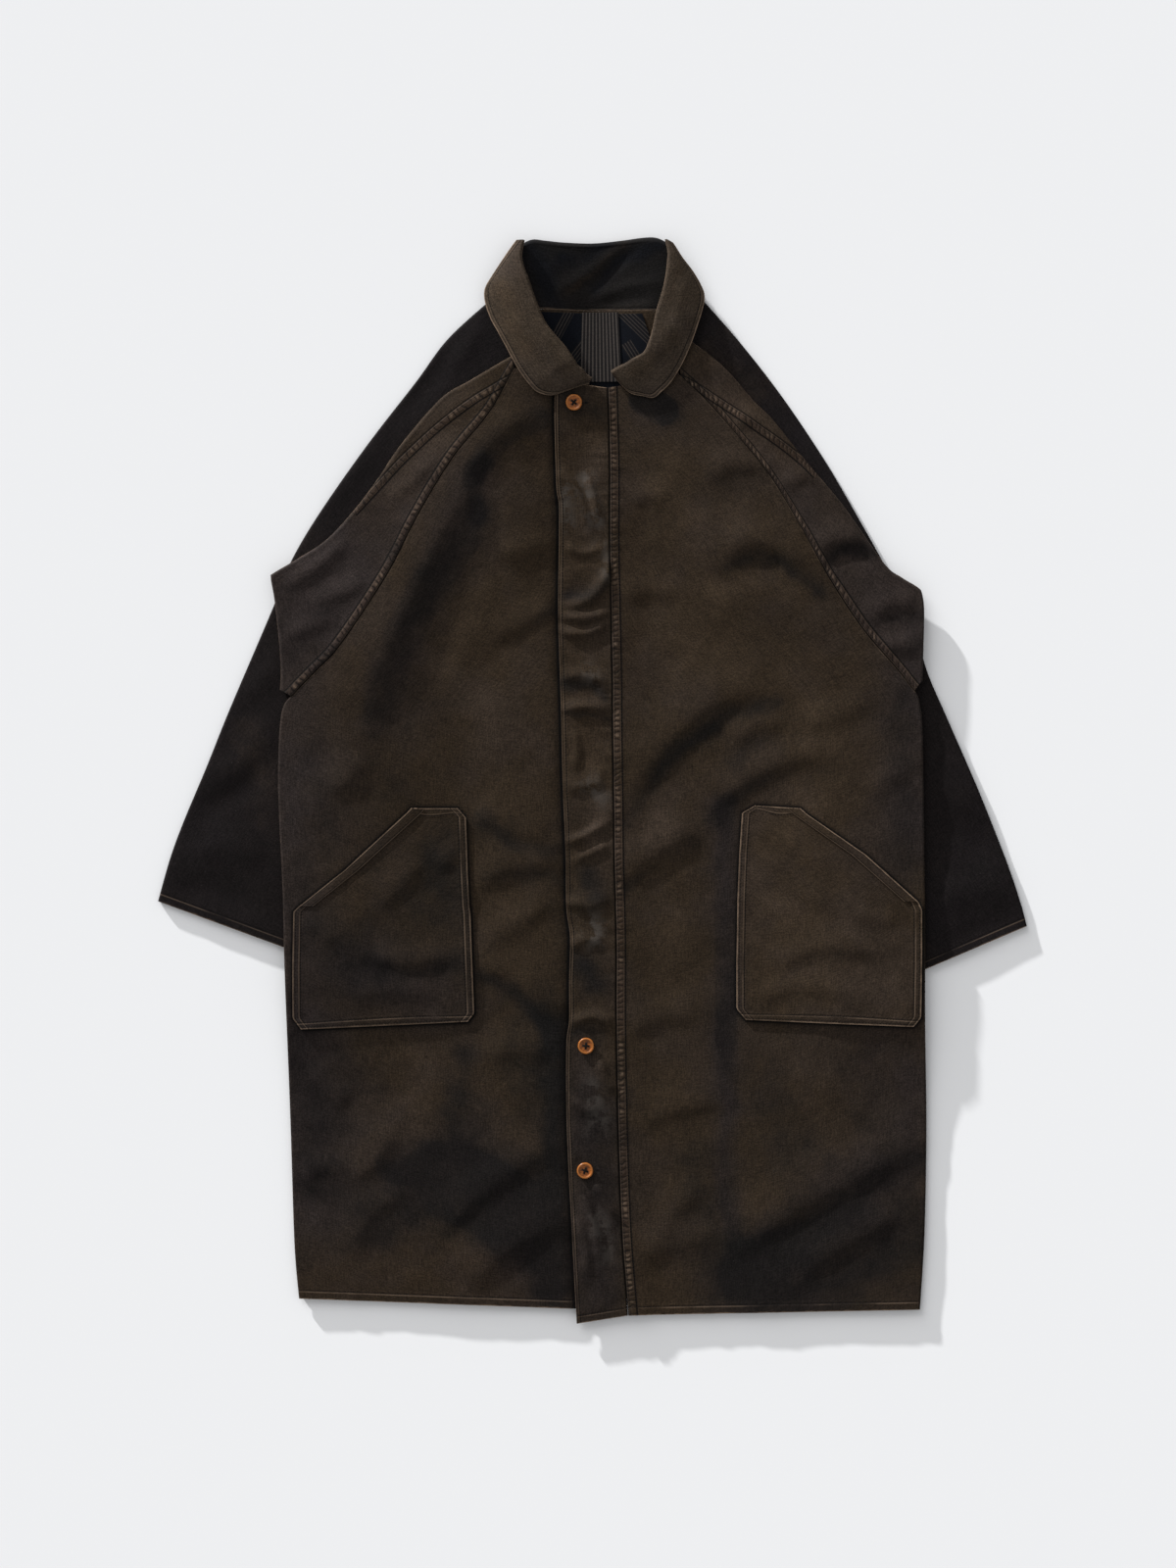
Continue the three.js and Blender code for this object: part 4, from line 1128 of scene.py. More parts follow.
def folded_surface(ruled, spacing, under_length, top, under):
    """Middle surface of a panel with its first edge folded over: under layer, half round, top layer"""
    zero = np.zeros((len(ruled.rows), 1))
    width = ruled.width[:, None]
    x, y = ruled.place(zero)
    edge_top, edge_under = top(x, y, zero), under(x, y, zero)
    radius = np.minimum((edge_top - edge_under) / 2, 0.4 * width)
    reach = np.maximum(radius * 1.25, np.minimum(under_length, 0.55 * width))
    back = radius + (reach - radius) * np.linspace(1, 0, 9)[None, :-1]
    turn = np.pi * (np.linspace(0, 1, 13)[None, :] - 0.5)
    round_distances = radius * (1 - np.cos(turn))
    round_heights = edge_under + (edge_top - edge_under) * (1 + np.sin(turn)) / 2
    inside = (width - radius)[:, 0]
    forward = radius + edge_distances(inside, spacing)[:, 1:]
    layers = []
    for distances, heights in ((back, under), (forward, top)):
        x, y = ruled.place(distances)
        layers.append(np.stack([x, y, heights(x, y, distances / width)], axis=2))
    x, y = ruled.place(round_distances)
    layers.insert(1, np.stack([x, y, round_heights], axis=2))
    return np.concatenate(layers, axis=1)


def tube_surface(ruled, spacing, crown, crease_table):
    """Middle surface of a flattened tube: rings that start and end in the middle of the under side"""
    radius = (SLEEVE_EDGE - FLOOR_LAYER) / 2
    width = ruled.width[:, None]
    count = math.ceil(float(ruled.width.max()) / spacing)
    shares = np.linspace(0, 1, count + 1)[None, :]
    flat = radius + (width - 2 * radius) * shares
    turn = np.radians(np.arange(20, 180, 20))[None, :]
    top = SLEEVE_EDGE + crown * np.sin(np.pi * shares)
    rounds = FLOOR_LAYER + radius * (1 - np.cos(turn))
    outer = radius * (1 - np.sin(turn))
    inner = width - radius + radius * np.sin(turn[:, ::-1])
    half = count // 2
    under = np.full(flat.shape, FLOOR_LAYER)
    rounds = rounds + 0 * width
    distances = np.concatenate([flat[:, half::-1], outer + 0 * width, flat, inner, flat[:, :half - 1:-1]], 1)
    heights = np.concatenate([under[:, half::-1], rounds, top, rounds[:, ::-1], under[:, :half - 1:-1]], 1)
    x, y = ruled.place(distances)
    raised = smooth(FLOOR_LAYER, SLEEVE_EDGE, heights)
    finer = SLEEVE_CREASE_GAIN * creases(crease_table, x, y)
    finer += SLEEVE_RUMPLE * rumple(x, y, SLEEVE_RUMPLE_SEED)
    return np.stack([x, y, heights + finer * raised], axis=2)


def add_object(name, data):
    item = bpy.data.objects.new(name, data)
    bpy.context.collection.objects.link(item)
    return item


def mesh_from(source, name):
    """Mesh with the faces of a bmesh, which is freed"""
    mesh = bpy.data.meshes.new(name)
    source.to_mesh(mesh)
    source.free()
    return mesh


# Distance attributes of a cloth, in the order start, end, top and hem
EDGES = ("from_start", "from_end", "from_top", "from_hem")


def edge_runs(points):
    """Distances over a cloth in millimetres from each of its four edges"""
    row_count, column_count = points.shape[:2]
    down = np.cumsum(np.linalg.norm(np.diff(points, axis=0), axis=2), axis=0)
    over = np.cumsum(np.linalg.norm(np.diff(points, axis=1), axis=2), axis=1)
    along = np.concatenate([np.zeros((1, column_count)), down])
    across = np.concatenate([np.zeros((row_count, 1)), over], axis=1)
    return dict(zip(EDGES, (across, across[:, -1:] - across, along, along[-1:] - along)))


def add_allowance(points, width, *edges):
    """Raises the cloth beside its edges, where the folded allowance of the seam lies under it"""
    runs = edge_runs(points)
    distances = np.min([runs[edge] for edge in edges], axis=0)
    points[:, :, 2] += ALLOWANCE_RISE * smooth(width + ALLOWANCE_SLOPE, width, distances)


def cloth_object(name, points, thickness, material, extra, closed):
    """A cloth piece: a grid whose corners are moved to the surface's points, then given its thickness.

    Its attributes are distances over the cloth in millimetres from each of its four edges.
    """
    row_count, column_count = points.shape[:2]
    values = edge_runs(points)
    across, along = values["from_start"], values["from_top"]
    values["from_fold"] = np.abs(across - across[:, [min(FOLD_COLUMN, column_count - 1)]])
    for label in ("tone", "rub_and_sheen", "grey"):
        values[label] = np.zeros(along.shape)
    values.update(extra or {})

    sheet = bmesh.new()
    bmesh.ops.create_grid(sheet, x_segments=column_count - 1, y_segments=row_count - 1, size=1)
    mesh = mesh_from(sheet, name)
    grid = np.empty(len(mesh.vertices) * 3)
    mesh.vertices.foreach_get("co", grid)
    grid = grid.reshape(-1, 3)
    column = np.rint((grid[:, 0] + 1) / 2 * (column_count - 1)).astype(int)
    row = np.rint((1 - grid[:, 1]) / 2 * (row_count - 1)).astype(int)
    mesh.vertices.foreach_set("co", (points[row, column] * MILLIMETRE).ravel())
    for label, value in values.items():
        mesh.attributes.new(label, "FLOAT", "POINT").data.foreach_set("value", value[row, column])

    corners = np.empty(len(mesh.loops), int)
    mesh.loops.foreach_get("vertex_index", corners)
    cut = np.stack([across[row, column][corners], -along[row, column][corners]], axis=1) * MILLIMETRE
    mesh.uv_layers.new(name="cut").data.foreach_set("uv", cut.ravel())

    sheet = bmesh.new()
    sheet.from_mesh(mesh)
    if closed:
        bmesh.ops.remove_doubles(sheet, verts=sheet.verts, dist=1e-6)
        facing = sum(face.normal.z * face.calc_center_median().z for face in sheet.faces)
    else:
        facing = sum(face.normal.z * face.calc_area() for face in sheet.faces)
    if facing < 0:
        bmesh.ops.reverse_faces(sheet, faces=sheet.faces)
    for face in sheet.faces:
        face.smooth = True
    sheet.to_mesh(mesh)
    sheet.free()

    piece = add_object(name, mesh)
    wall = piece.modifiers.new("Cloth", "SOLIDIFY")
    wall.thickness = thickness
    wall.offset = 0
    rounding = piece.modifiers.new("Cut edges", "BEVEL")
    rounding.width = sizes().edge_round
    rounding.segments = 2
    rounding.limit_method = "ANGLE"
    rounding.angle_limit = math.radians(60)
    piece.data.materials.append(material)
    return piece


# Beads of thread: half length, width and height, how far they sink in, and how many are made at a time
THREAD_HALF_SIZES = (1.15, 0.36, 0.32)
THREAD_SINK = 0.1
THREAD_BATCH = 40


def thread_line(points, attribute, offset):
    """Line over a cloth at an offset from the edge that a distance attribute starts from"""
    distances = edge_runs(points)[attribute]
    if attribute in ("from_top", "from_hem"):
        points, distances = points.transpose(1, 0, 2), distances.T
    if attribute in ("from_end", "from_hem"):
        points, distances = points[:, ::-1], distances[:, ::-1]
    return np.array([
        [np.interp(offset, run, row[:, axis]) for axis in range(3)] for run, row in zip(distances, points)
    ])


def sew(name, points, details, thickness, trim):
    """Rows of stitches over a cloth, one small closed bead of thread for each stitch"""
    pitch = sizes().stitch_length / MILLIMETRE
    rise = Vector((0, 0, thickness / MILLIMETRE / 2 - THREAD_SINK))
    mesh = bpy.data.meshes.new(f"{name}_stitches")
    thread = bmesh.new()
    for kind, attribute, offset, _ in details:
        if kind != "stitch":
            continue
        line = thread_line(points, attribute, offset)
        run = np.concatenate([[0], np.cumsum(np.linalg.norm(np.diff(line, axis=0), axis=1))])
        starts = np.arange(trim * offset + pitch, run[-1] - trim * offset - pitch, pitch)
        for batch in np.array_split(starts, len(starts) // THREAD_BATCH + 1):
            beads = bmesh.new()
            for start in batch:
                here, ahead = (
                    Vector([np.interp(at, run, line[:, axis]) for axis in range(3)])
                    for at in (start, start + 1)
                )
                turn = (ahead - here).to_track_quat("X", "Z").to_matrix().to_4x4()
                matrix = Matrix.Scale(MILLIMETRE, 4) @ Matrix.Translation(here + rise) @ turn
                matrix = matrix @ Matrix.Diagonal((*THREAD_HALF_SIZES, 1))
                bmesh.ops.create_uvsphere(beads, u_segments=6, v_segments=3, radius=1, matrix=matrix)
            beads.to_mesh(mesh)
            beads.free()
            thread.from_mesh(mesh)
    thread.to_mesh(mesh)
    thread.free()
    mesh.shade_smooth()
    mesh.materials.append(thread_material())
    stitches = add_object(mesh.name, mesh)
    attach(stitches, "root")


def add_cloth(
    node, points, thickness, material, cut, values=None, sewn=(), trim=0.0, closed=False
):
    """Makes a cloth piece and its stitches, and says what it stands for and the size that it was cut to"""
    piece = cloth_object(f"coat_{node}", points, thickness, material, values, closed)
    if sewn:
        sew(piece.name, points, sewn, thickness, trim)
    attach(piece, "root")
    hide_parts(node)
    width, length, area = cut
    return piece


class Recipe:
    """Adds nodes to one tree. An input is either a plain value or another node's output."""

    def __init__(self, tree):
        self.tree = tree

    def feed(self, socket, value):
        if isinstance(value, bpy.types.NodeSocket):
            self.tree.links.new(value, socket)
        else:
            socket.default_value = value

    def node(self, kind, inputs=None, **settings):
        node = self.tree.nodes.new(kind)
        for name, value in settings.items():
            setattr(node, name, value)
        for name, value in (inputs or {}).items():
            self.feed(node.inputs[name], value)
        return node

    def math(self, operation, *values):
        node = self.tree.nodes.new("ShaderNodeMath")
        node.operation = operation
        for socket, value in zip(node.inputs, values):
            self.feed(socket, value)
        return node.outputs[0]

    def times(self, first, second):
        return self.math("MULTIPLY", first, second)

    def plus(self, first, second):
        return self.math("ADD", first, second)

    def scaled(self, value, factor, offset):
        """The value times a factor, plus an offset"""
        return self.math("MULTIPLY_ADD", value, factor, offset)

    def object_place(self):
        return self.node("ShaderNodeTexCoord").outputs["Object"]

    def cut_place(self):
        return self.node("ShaderNodeUVMap", uv_map="cut").outputs[0]

    def between(self, value, start, end):
        """0 at start and 1 at end, with a smooth step between"""
        inputs = {"Value": value, "From Min": start, "From Max": end}
        return self.node("ShaderNodeMapRange", inputs, interpolation_type="SMOOTHSTEP").outputs["Result"]

    def blend(self, factor, first, second):
        node = self.node("ShaderNodeMix", data_type="RGBA")
        self.feed(node.inputs[0], factor)
        self.feed(node.inputs[6], first)
        self.feed(node.inputs[7], second)
        return node.outputs[2]

    def noise(self, place, scale, detail=3, roughness=0.55):
        inputs = {"Vector": place, "Scale": scale, "Detail": detail, "Roughness": roughness}
        return self.node("ShaderNodeTexNoise", inputs).outputs["Fac"]

    def stretched(self, place, scale):
        return self.node("ShaderNodeMapping", {"Vector": place, "Scale": scale}).outputs[0]

    def distance(self, name):
        return self.node("ShaderNodeAttribute", attribute_name=name).outputs["Fac"]

    def use(self, group, **inputs):
        node = self.tree.nodes.new("ShaderNodeGroup")
        node.node_tree = group
        for name, value in inputs.items():
            self.feed(node.inputs[name], value)
        return node.outputs


def start_group(name, inputs, outputs):
    """An empty node group with named sockets. Columns of inputs: name, kind, default."""
    tree = bpy.data.node_groups.new(name, "ShaderNodeTree")
    for label, kind, default in inputs:
        socket = tree.interface.new_socket(name=label, in_out="INPUT", socket_type=kind)
        if default is not None:
            socket.default_value = default
    for label in outputs:
        tree.interface.new_socket(name=label, in_out="OUTPUT", socket_type="NodeSocketFloat")
    entry = tree.nodes.new("NodeGroupInput").outputs
    result = tree.nodes.new("NodeGroupOutput").inputs
    return tree, Recipe(tree), entry, result


VECTOR = "NodeSocketVector"
FLOAT = "NodeSocketFloat"


def weave_group():
    """Twill: fine diagonal ribs and threads of uneven thickness. Heights are in millimetres."""
    tree, make, entry, result = start_group(
        "Twill weave", [("Cut", VECTOR, None), ("Rib", FLOAT, 0.0011)], ["Height", "Slub"]
    )
    split = make.node("ShaderNodeSeparateXYZ", {"Vector": entry["Cut"]}).outputs
    diagonal = make.math("DIVIDE", make.plus(split[0], split[1]), entry["Rib"])
    ribs = make.math("SINE", make.times(diagonal, math.tau))
    warp = make.noise(make.stretched(entry["Cut"], (900, 70, 1)), 1, 2)
    weft = make.noise(make.stretched(entry["Cut"], (70, 900, 1)), 1, 2)
    slub = make.plus(make.times(warp, 0.55), make.times(weft, 0.45))
    height = make.plus(make.times(ribs, 0.02), make.times(slub, 0.14))
    make.feed(result["Height"], height)
    make.feed(result["Slub"], slub)
    return tree


def dye_and_shade_group():
    """Aged dye: broad blotches from the painted tone, broken up by noise, and fine mottling"""
    tree, make, entry, result = start_group(
        "Aged dye and painted shade", [("Place", VECTOR, None), ("Tone", FLOAT, 0.0)], ["Shade", "Mottle"]
    )
    broad = make.noise(entry["Place"], 7, 4, 0.6)
    medium = make.noise(entry["Place"], 38, 5, 0.62)
    fine = make.between(make.noise(entry["Place"], 560, 3, 0.7), 0.3, 0.7)
    swing = make.plus(make.scaled(broad, 1.1, -0.55), make.scaled(medium, 0.6, -0.3))
    make.feed(result["Shade"], make.plus(make.times(entry["Tone"], 0.8), swing))
    make.feed(result["Mottle"], make.plus(make.times(fine, 0.6), make.times(medium, 0.4)))
    return tree


def worn_edge_group():
    """Dye worn off along an edge, in uneven patches"""
    tree, make, entry, result = start_group(
        "Worn edge",
        [("Distance", FLOAT, 10.0), ("Width", FLOAT, 1.5), ("Place", VECTOR, None)],
        ["Mask"],
    )
    uneven = make.noise(entry["Place"], 110, 4, 0.65)
    reach = make.times(entry["Width"], make.scaled(uneven, 2.4, -0.35))
    mask = make.between(entry["Distance"], reach, 0)
    patchy = make.between(make.noise(entry["Place"], 26, 3), 0.30, 0.55)
    make.feed(result["Mask"], make.times(mask, make.scaled(patchy, 0.75, 0.25)))
    return tree


def stitch_group():
    """A row of stitches at an offset from an edge: a groove, its puckers, and the shaded line"""
    tree, make, entry, result = start_group(
        "Stitch row",
        [("Distance", FLOAT, 10.0), ("Offset", FLOAT, 5.0), ("Along", FLOAT, 0.0), ("Pitch", FLOAT, 3.2)],
        ["Height", "Line", "Crest"],
    )
    away = make.math("ABSOLUTE", make.math("SUBTRACT", entry["Distance"], entry["Offset"]))
    turn = make.times(make.math("DIVIDE", entry["Along"], entry["Pitch"]), math.tau)
    beat = make.scaled(make.math("SINE", turn), 0.5, 0.5)
    short = make.math("SUBTRACT", entry["Offset"], entry["Distance"])
    beside = make.math("ABSOLUTE", make.math("SUBTRACT", short, 1.5))
    groove = make.between(away, 1.7, 0)
    line = make.times(make.between(away, 0.75, 0.2), make.scaled(beat, 0.5, 0.5))
    depth = make.times(groove, make.scaled(beat, -0.10, -0.16))
    make.feed(result["Height"], depth)
    make.feed(result["Line"], line)
    make.feed(result["Crest"], make.between(beside, 0.9, 0.2))
    return tree


def strip_group():
    """A strip of folded allowance beside a seam: raised, puckered like a ladder by the feed of the machine"""
    tree, make, entry, result = start_group(
        "Raised strip",
        [("Distance", FLOAT, 10.0), ("Width", FLOAT, 9.0), ("Along", FLOAT, 0.0), ("Pitch", FLOAT, 9.5),
         ("Place", VECTOR, None)],
        ["Height", "Ladder", "Inside", "Tick", "Edge"],
    )
    inner = make.plus(entry["Width"], 0.9)
    inside = make.between(entry["Distance"], inner, entry["Width"])
    uneven = make.times(make.noise(entry["Place"], 55, 2), 14.0)
    turn = make.plus(make.times(make.math("DIVIDE", entry["Along"], entry["Pitch"]), math.tau), uneven)
    crests = make.scaled(make.math("SINE", turn), 0.5, 0.5)
    bulge_in = make.between(entry["Distance"], 0, make.times(entry["Width"], 0.35))
    bulge_out = make.between(entry["Distance"], entry["Width"], make.times(entry["Width"], 0.65))
    ladder = make.times(crests, make.times(bulge_in, bulge_out))
    height = make.plus(make.times(inside, 0.45), make.times(ladder, 0.42))
    tick = make.times(make.between(crests, 0.16, 0.02), inside)
    along_edge = make.math("ABSOLUTE", make.math("SUBTRACT", entry["Distance"], inner))
    make.feed(result["Height"], height)
    make.feed(result["Ladder"], ladder)
    make.feed(result["Inside"], inside)
    make.feed(result["Tick"], tick)
    make.feed(result["Edge"], make.between(along_edge, 1.3, 0.5))
    return tree


def dust_group():
    """Sparse specks of lint"""
    tree, make, entry, result = start_group("Lint", [("Place", VECTOR, None)], ["Specks"])
    cells = make.node("ShaderNodeTexVoronoi", {"Vector": entry["Place"], "Scale": 260.0}).outputs["Distance"]
    speck = make.between(cells, 0.11, 0.05)
    rare = make.between(make.noise(entry["Place"], 90, 2), 0.62, 0.68)
    make.feed(result["Specks"], make.times(speck, rare))
    return tree


GROUP_MAKERS = {
    "Twill weave": weave_group,
    "Aged dye and painted shade": dye_and_shade_group,
    "Worn edge": worn_edge_group,
    "Stitch row": stitch_group,
    "Raised strip": strip_group,
    "Lint": dust_group,
}


def group(name):
    return bpy.data.node_groups.get(name) or GROUP_MAKERS[name]()


def with_alpha(colour, factor=1.0):
    return tuple(channel * factor for channel in colour) + (1.0,)


class Cotton(Recipe):
    """Recipe that keeps the colour and the height of a cloth while details are laid over it"""

    def start(self, along, wear):
        self.place = self.object_place()
        self.run = self.distance(along)
        self.strength = sizes().wear * wear
        self.worn = with_alpha(colours().worn)
        self.rust = with_alpha(colours().rust)
        self.spotted = self.between(self.noise(self.place, 48, 3, 0.6), 0.50, 0.62)
        self.patchy = self.between(self.noise(self.place, 17, 3), 0.32, 0.60)
        self.colour = None
        self.height = None

    def tint(self, factor, colour):
        self.colour = self.blend(factor, self.colour, colour)

    def raise_by(self, height):
        self.height = self.plus(self.height, height)

    def darken(self, mask, depth):
        self.tint(self.times(mask, depth), SEAM_SHADE)

    def stitches(self, distance, offset, strength):
        pitch = sizes().stitch_length / MILLIMETRE
        row = self.use(group("Stitch row"), Distance=distance, Offset=offset, Along=self.run, Pitch=pitch)
        crest = self.times(row["Crest"], self.patchy)
        self.tint(self.times(crest, 0.26 * strength * self.strength), self.worn)
        self.darken(row["Line"], min(0.95, 0.8 * strength))
        self.raise_by(self.times(row["Height"], strength))

    def strip(self, distance, width, pitch):
        strip = self.use(
            group("Raised strip"),
            Distance=distance, Width=width, Along=self.run, Pitch=pitch, Place=self.place,
        )
        self.raise_by(strip["Height"])
        rusty = self.times(strip["Inside"], self.scaled(self.patchy, 0.42, 0.02))
        self.tint(self.times(rusty, self.strength), self.rust)
        rubbed = self.times(self.math("POWER", strip["Ladder"], 2.0), self.spotted)
        self.tint(self.times(rubbed, 0.42 * self.strength), self.worn)
        # Painted shade between the ladder's crests, and in the gap along the strip's inner edge
        self.darken(strip["Tick"], 0.72)
        self.darken(strip["Edge"], 0.86)


def start_material(name, kind=Recipe):
    material = bpy.data.materials.new(name)
    material.use_nodes = True
    material.node_tree.nodes.clear()
    return material, kind(material.node_tree)


def finish_material(make, colour, rough, height, depth, specular, **coat):
    """Surface and output of a material. The height is in units of the given depth."""
    bump = make.node("ShaderNodeBump", {"Height": height, "Distance": depth, "Strength": 1.0}).outputs[0]
    inputs = {"Base Color": colour, "Roughness": rough, "Normal": bump, "Specular IOR Level": specular}
    inputs.update(coat)
    surface = make.node("ShaderNodeBsdfPrincipled", inputs)
    make.node("ShaderNodeOutputMaterial", {"Surface": surface.outputs[0]})


def lay_details(make, details):
    """Lays seams, stitches and wear over a cloth. Columns: kind, distance attribute, first and second size.

    Kinds: worn (width, strength), ditch (width, depth), stitch (offset, strength),
    strip (width, ladder pitch), shade (reach, strength), seam (width, ladder pitch).
    """
    for kind, attribute, first, second in details:
        distance = make.distance(attribute)
        if kind == "worn":
            mask = make.use(group("Worn edge"), Distance=distance, Width=first, Place=make.place)["Mask"]
            make.tint(make.times(mask, second * make.strength), make.worn)
        elif kind == "ditch":
            # The groove's darkening is painted shade
            make.darken(make.between(distance, first, first * 0.3), 0.85)
            depth = make.times(make.between(distance, first * 1.6, 0), -second)
            make.raise_by(depth)
        elif kind == "shade":
            # Painted shade beside a raised edge, such as a pocket's or the placket's
            make.darken(make.between(distance, first, 0), second)
            make.darken(make.between(distance, first * 0.42, first * 0.2), min(0.95, second * 1.8))
        elif kind == "stitch":
            make.stitches(distance, first, second)
        elif kind == "strip":
            make.strip(distance, first, second)
        elif kind == "seam":
            either_side = make.math("ABSOLUTE", distance)
            other_side = make.times(make.math("LESS_THAN", distance, 0.0), 60.0)
            one_side = make.plus(either_side, other_side)
            make.strip(one_side, first, second)
            make.stitches(one_side, 2.0, 0.6)
            # Painted shade in the seam's groove
            make.darken(make.between(either_side, 1.0, 0.3), 0.85)
            make.raise_by(make.times(make.between(either_side, 1.6, 0.0), -0.5))


def waxed_cotton(name, dark, mid, light, details, along="from_top", wear=1.0):
    """Waxed cotton with its own dyes and details"""
    material, make = start_material(name, Cotton)
    make.start(along, wear)
    cut = make.cut_place()
    dye = make.use(group("Aged dye and painted shade"), Place=make.place, Tone=make.distance("tone"))
    weave = make.use(group("Twill weave"), Cut=cut)

    # The tone holds dye marks, and painted shade and painted light beside creases
    colour = make.blend(make.between(dye["Shade"], -0.9, 0.05), with_alpha(dark), with_alpha(mid))
    colour = make.blend(make.between(dye["Shade"], 0.05, 1.0), colour, with_alpha(light))
    lightness = make.node("ShaderNodeRGBToBW", {"Color": colour}).outputs[0]
    grey = make.node("ShaderNodeCombineColor", {
        channel: make.times(lightness, share)
        for channel, share in (("Red", 1.22), ("Green", 0.94), ("Blue", 0.90))
    }).outputs[0]
    drift = make.between(make.noise(make.place, 9, 4, 0.6), 0.42, 0.62)
    greyed = make.plus(make.times(make.distance("grey"), 0.75), make.times(drift, 0.26))
    colour = make.blend(make.math("MINIMUM", greyed, 0.9), colour, grey)
    grain = make.scaled(weave["Slub"], 2.4, -0.2)
    speckle = make.scaled(dye["Mottle"], 1.2, 0.4)
    shaded = make.times(grain, speckle)
    tint = make.node("ShaderNodeCombineColor", {"Red": shaded, "Green": shaded, "Blue": shaded}).outputs[0]
    multiply = make.node("ShaderNodeMix", data_type="RGBA", blend_type="MULTIPLY")
    multiply.inputs[0].default_value = 1.0
    make.feed(multiply.inputs[6], colour)
    make.feed(multiply.inputs[7], tint)
    make.colour = multiply.outputs[2]
    # Rubbed patches lower the roughness, and their grey tint is partly rubbed wax and partly painted sheen
    rub_and_sheen = make.times(make.distance("rub_and_sheen"), make.between(make.noise(make.place, 75, 4, 0.6), 0.40, 0.56))
    make.tint(make.times(rub_and_sheen, 0.75), RUBBED_GREY_AND_SHEEN)
    make.height = weave["Height"]
    make.raise_by(make.times(dye["Mottle"], 0.16))

    lay_details(make, details)
    lint = make.use(group("Lint"), Place=make.place)["Specks"]
    make.tint(make.times(lint, 0.22), LINT_COLOUR)

    rough = make.scaled(dye["Mottle"], 0.2, 0.60)
    rough = make.math("SUBTRACT", rough, make.times(rub_and_sheen, 0.22))
    finish_material(make, make.colour, rough, make.height, MILLIMETRE, 0.05)
    return material


def body_cotton(part, details):
    """Waxed cotton in the dyes of the body"""
    shades = colours()
    return waxed_cotton(f"Waxed cotton, {part}", shades.charcoal, shades.body, shades.faded, details)


def tone_values(table, points, offset=0.0, rubs_and_sheen=()):
    x, y = points[:, :, 0], points[:, :, 1]
    # The coat is darker towards its hem
    lower = 0.08 - 0.30 * smooth(60, -400, y)
    values = {
        "tone": np.clip(marks(table, x, y) + offset + lower, -1, 1),
        "grey": np.clip(marks(GREY_MARKS, x, y), 0, 1),
    }
    if rubs_and_sheen:
        values["rub_and_sheen"] = np.clip(marks(rubs_and_sheen, x, y), 0, 1)
    return values


def side_seam_front(x, y):
    return (front_height(x, y) + back_height(x, y) + SEAM_GAP) / 2


def side_seam_back(x, y):
    return (front_height(x, y) + back_height(x, y) - SEAM_GAP) / 2


def make_back():
    """Make the back"""
    ruled = Ruled(BACK_SECTIONS, row_numbers(BACK_SECTIONS, BACK_GRID[0]))
    points = panel_surface(
        ruled, BACK_GRID[1], back_height, ARMPIT_ROW + 1, start_seam=side_seam_back, end_seam=side_seam_back
    )
    x, y = points[:, :, 0], points[:, :, 1]
    # The creases fade towards the sides and the hem
    inside = smooth(0, 60, np.minimum(x + 330, 350 - x)) * smooth(-565, -500, y)
    points[:, :, 2] += np.maximum(0, creases(BACK_CREASES, x, y)) * inside
    tone = tone_values([], points, -0.15)
    details = [
        ("worn", "from_start", 1.6, 0.6),
        ("worn", "from_end", 1.6, 0.6),
        ("worn", "from_hem", 1.6, 0.8),
        ("stitch", "from_hem", 9.5, 1.0),
        ("ditch", "from_start", 0.6, 0.5),
        ("ditch", "from_end", 0.6, 0.5),
    ]
    add_cloth(
        "back", points, sizes().shell_thickness, body_cotton("back", details),
        (0.70, 1.10, 0.62), tone,
    )


def make_fronts():
    """Make the right and left front"""
    common = [
        ("worn", "from_start", 1.6, 0.8),
        ("worn", "from_hem", 1.5, 1.0),
        ("stitch", "from_hem", HEM_WIDTH + 1, 1.1),
        ("shade", "from_pocket", 7.0, 0.5),
    ]
    for side, table, height, pocket in (
        ("right", FRONT_RIGHT_SECTIONS, front_right_height, POCKET_RIGHT_SECTIONS),
        ("left", FRONT_LEFT_SECTIONS, front_left_height, POCKET_LEFT_SECTIONS),
    ):
        ruled = Ruled(table, row_numbers(table, FRONT_GRID[0]))
        points = panel_surface(ruled, FRONT_GRID[1], height, ARMPIT_ROW, start_seam=side_seam_front)
        add_allowance(points, HEM_WIDTH, "from_hem")
        details = list(common)
        details.append(("ditch", "from_start", 1.1, 0.6))
        if side == "left":
            add_allowance(points, CENTRE_STRIP_WIDTH, "from_end")
            details += [
                ("strip", "from_end", CENTRE_STRIP_WIDTH, 6.2),
                ("stitch", "from_end", 2.2, 0.8),
                ("stitch", "from_end", CENTRE_STRIP_WIDTH + 0.9, 0.5),
                ("ditch", "from_end", 1.2, 0.6),
            ]
        else:
            details.append(("shade", "from_placket", 11.0, 0.55))
        material = body_cotton(f"{side} front", details)
        x, y = points[:, :, 0], points[:, :, 1]
        outline = [entry[:2] for entry in pocket] + [entry[2:] for entry in reversed(pocket)]
        outline.append(outline[0])
        values = tone_values(DYE_AND_SHADE_MARKS, points, patches(x, y))
        values["from_pocket"] = outline_distance(outline, x, y)
        values["from_placket"] = outline_distance(PLACKET_EDGE, x, y)
        add_cloth(
            f"front_{side}", points, sizes().shell_thickness, material,
            (0.38, 1.02, 0.31), values, details,
        )


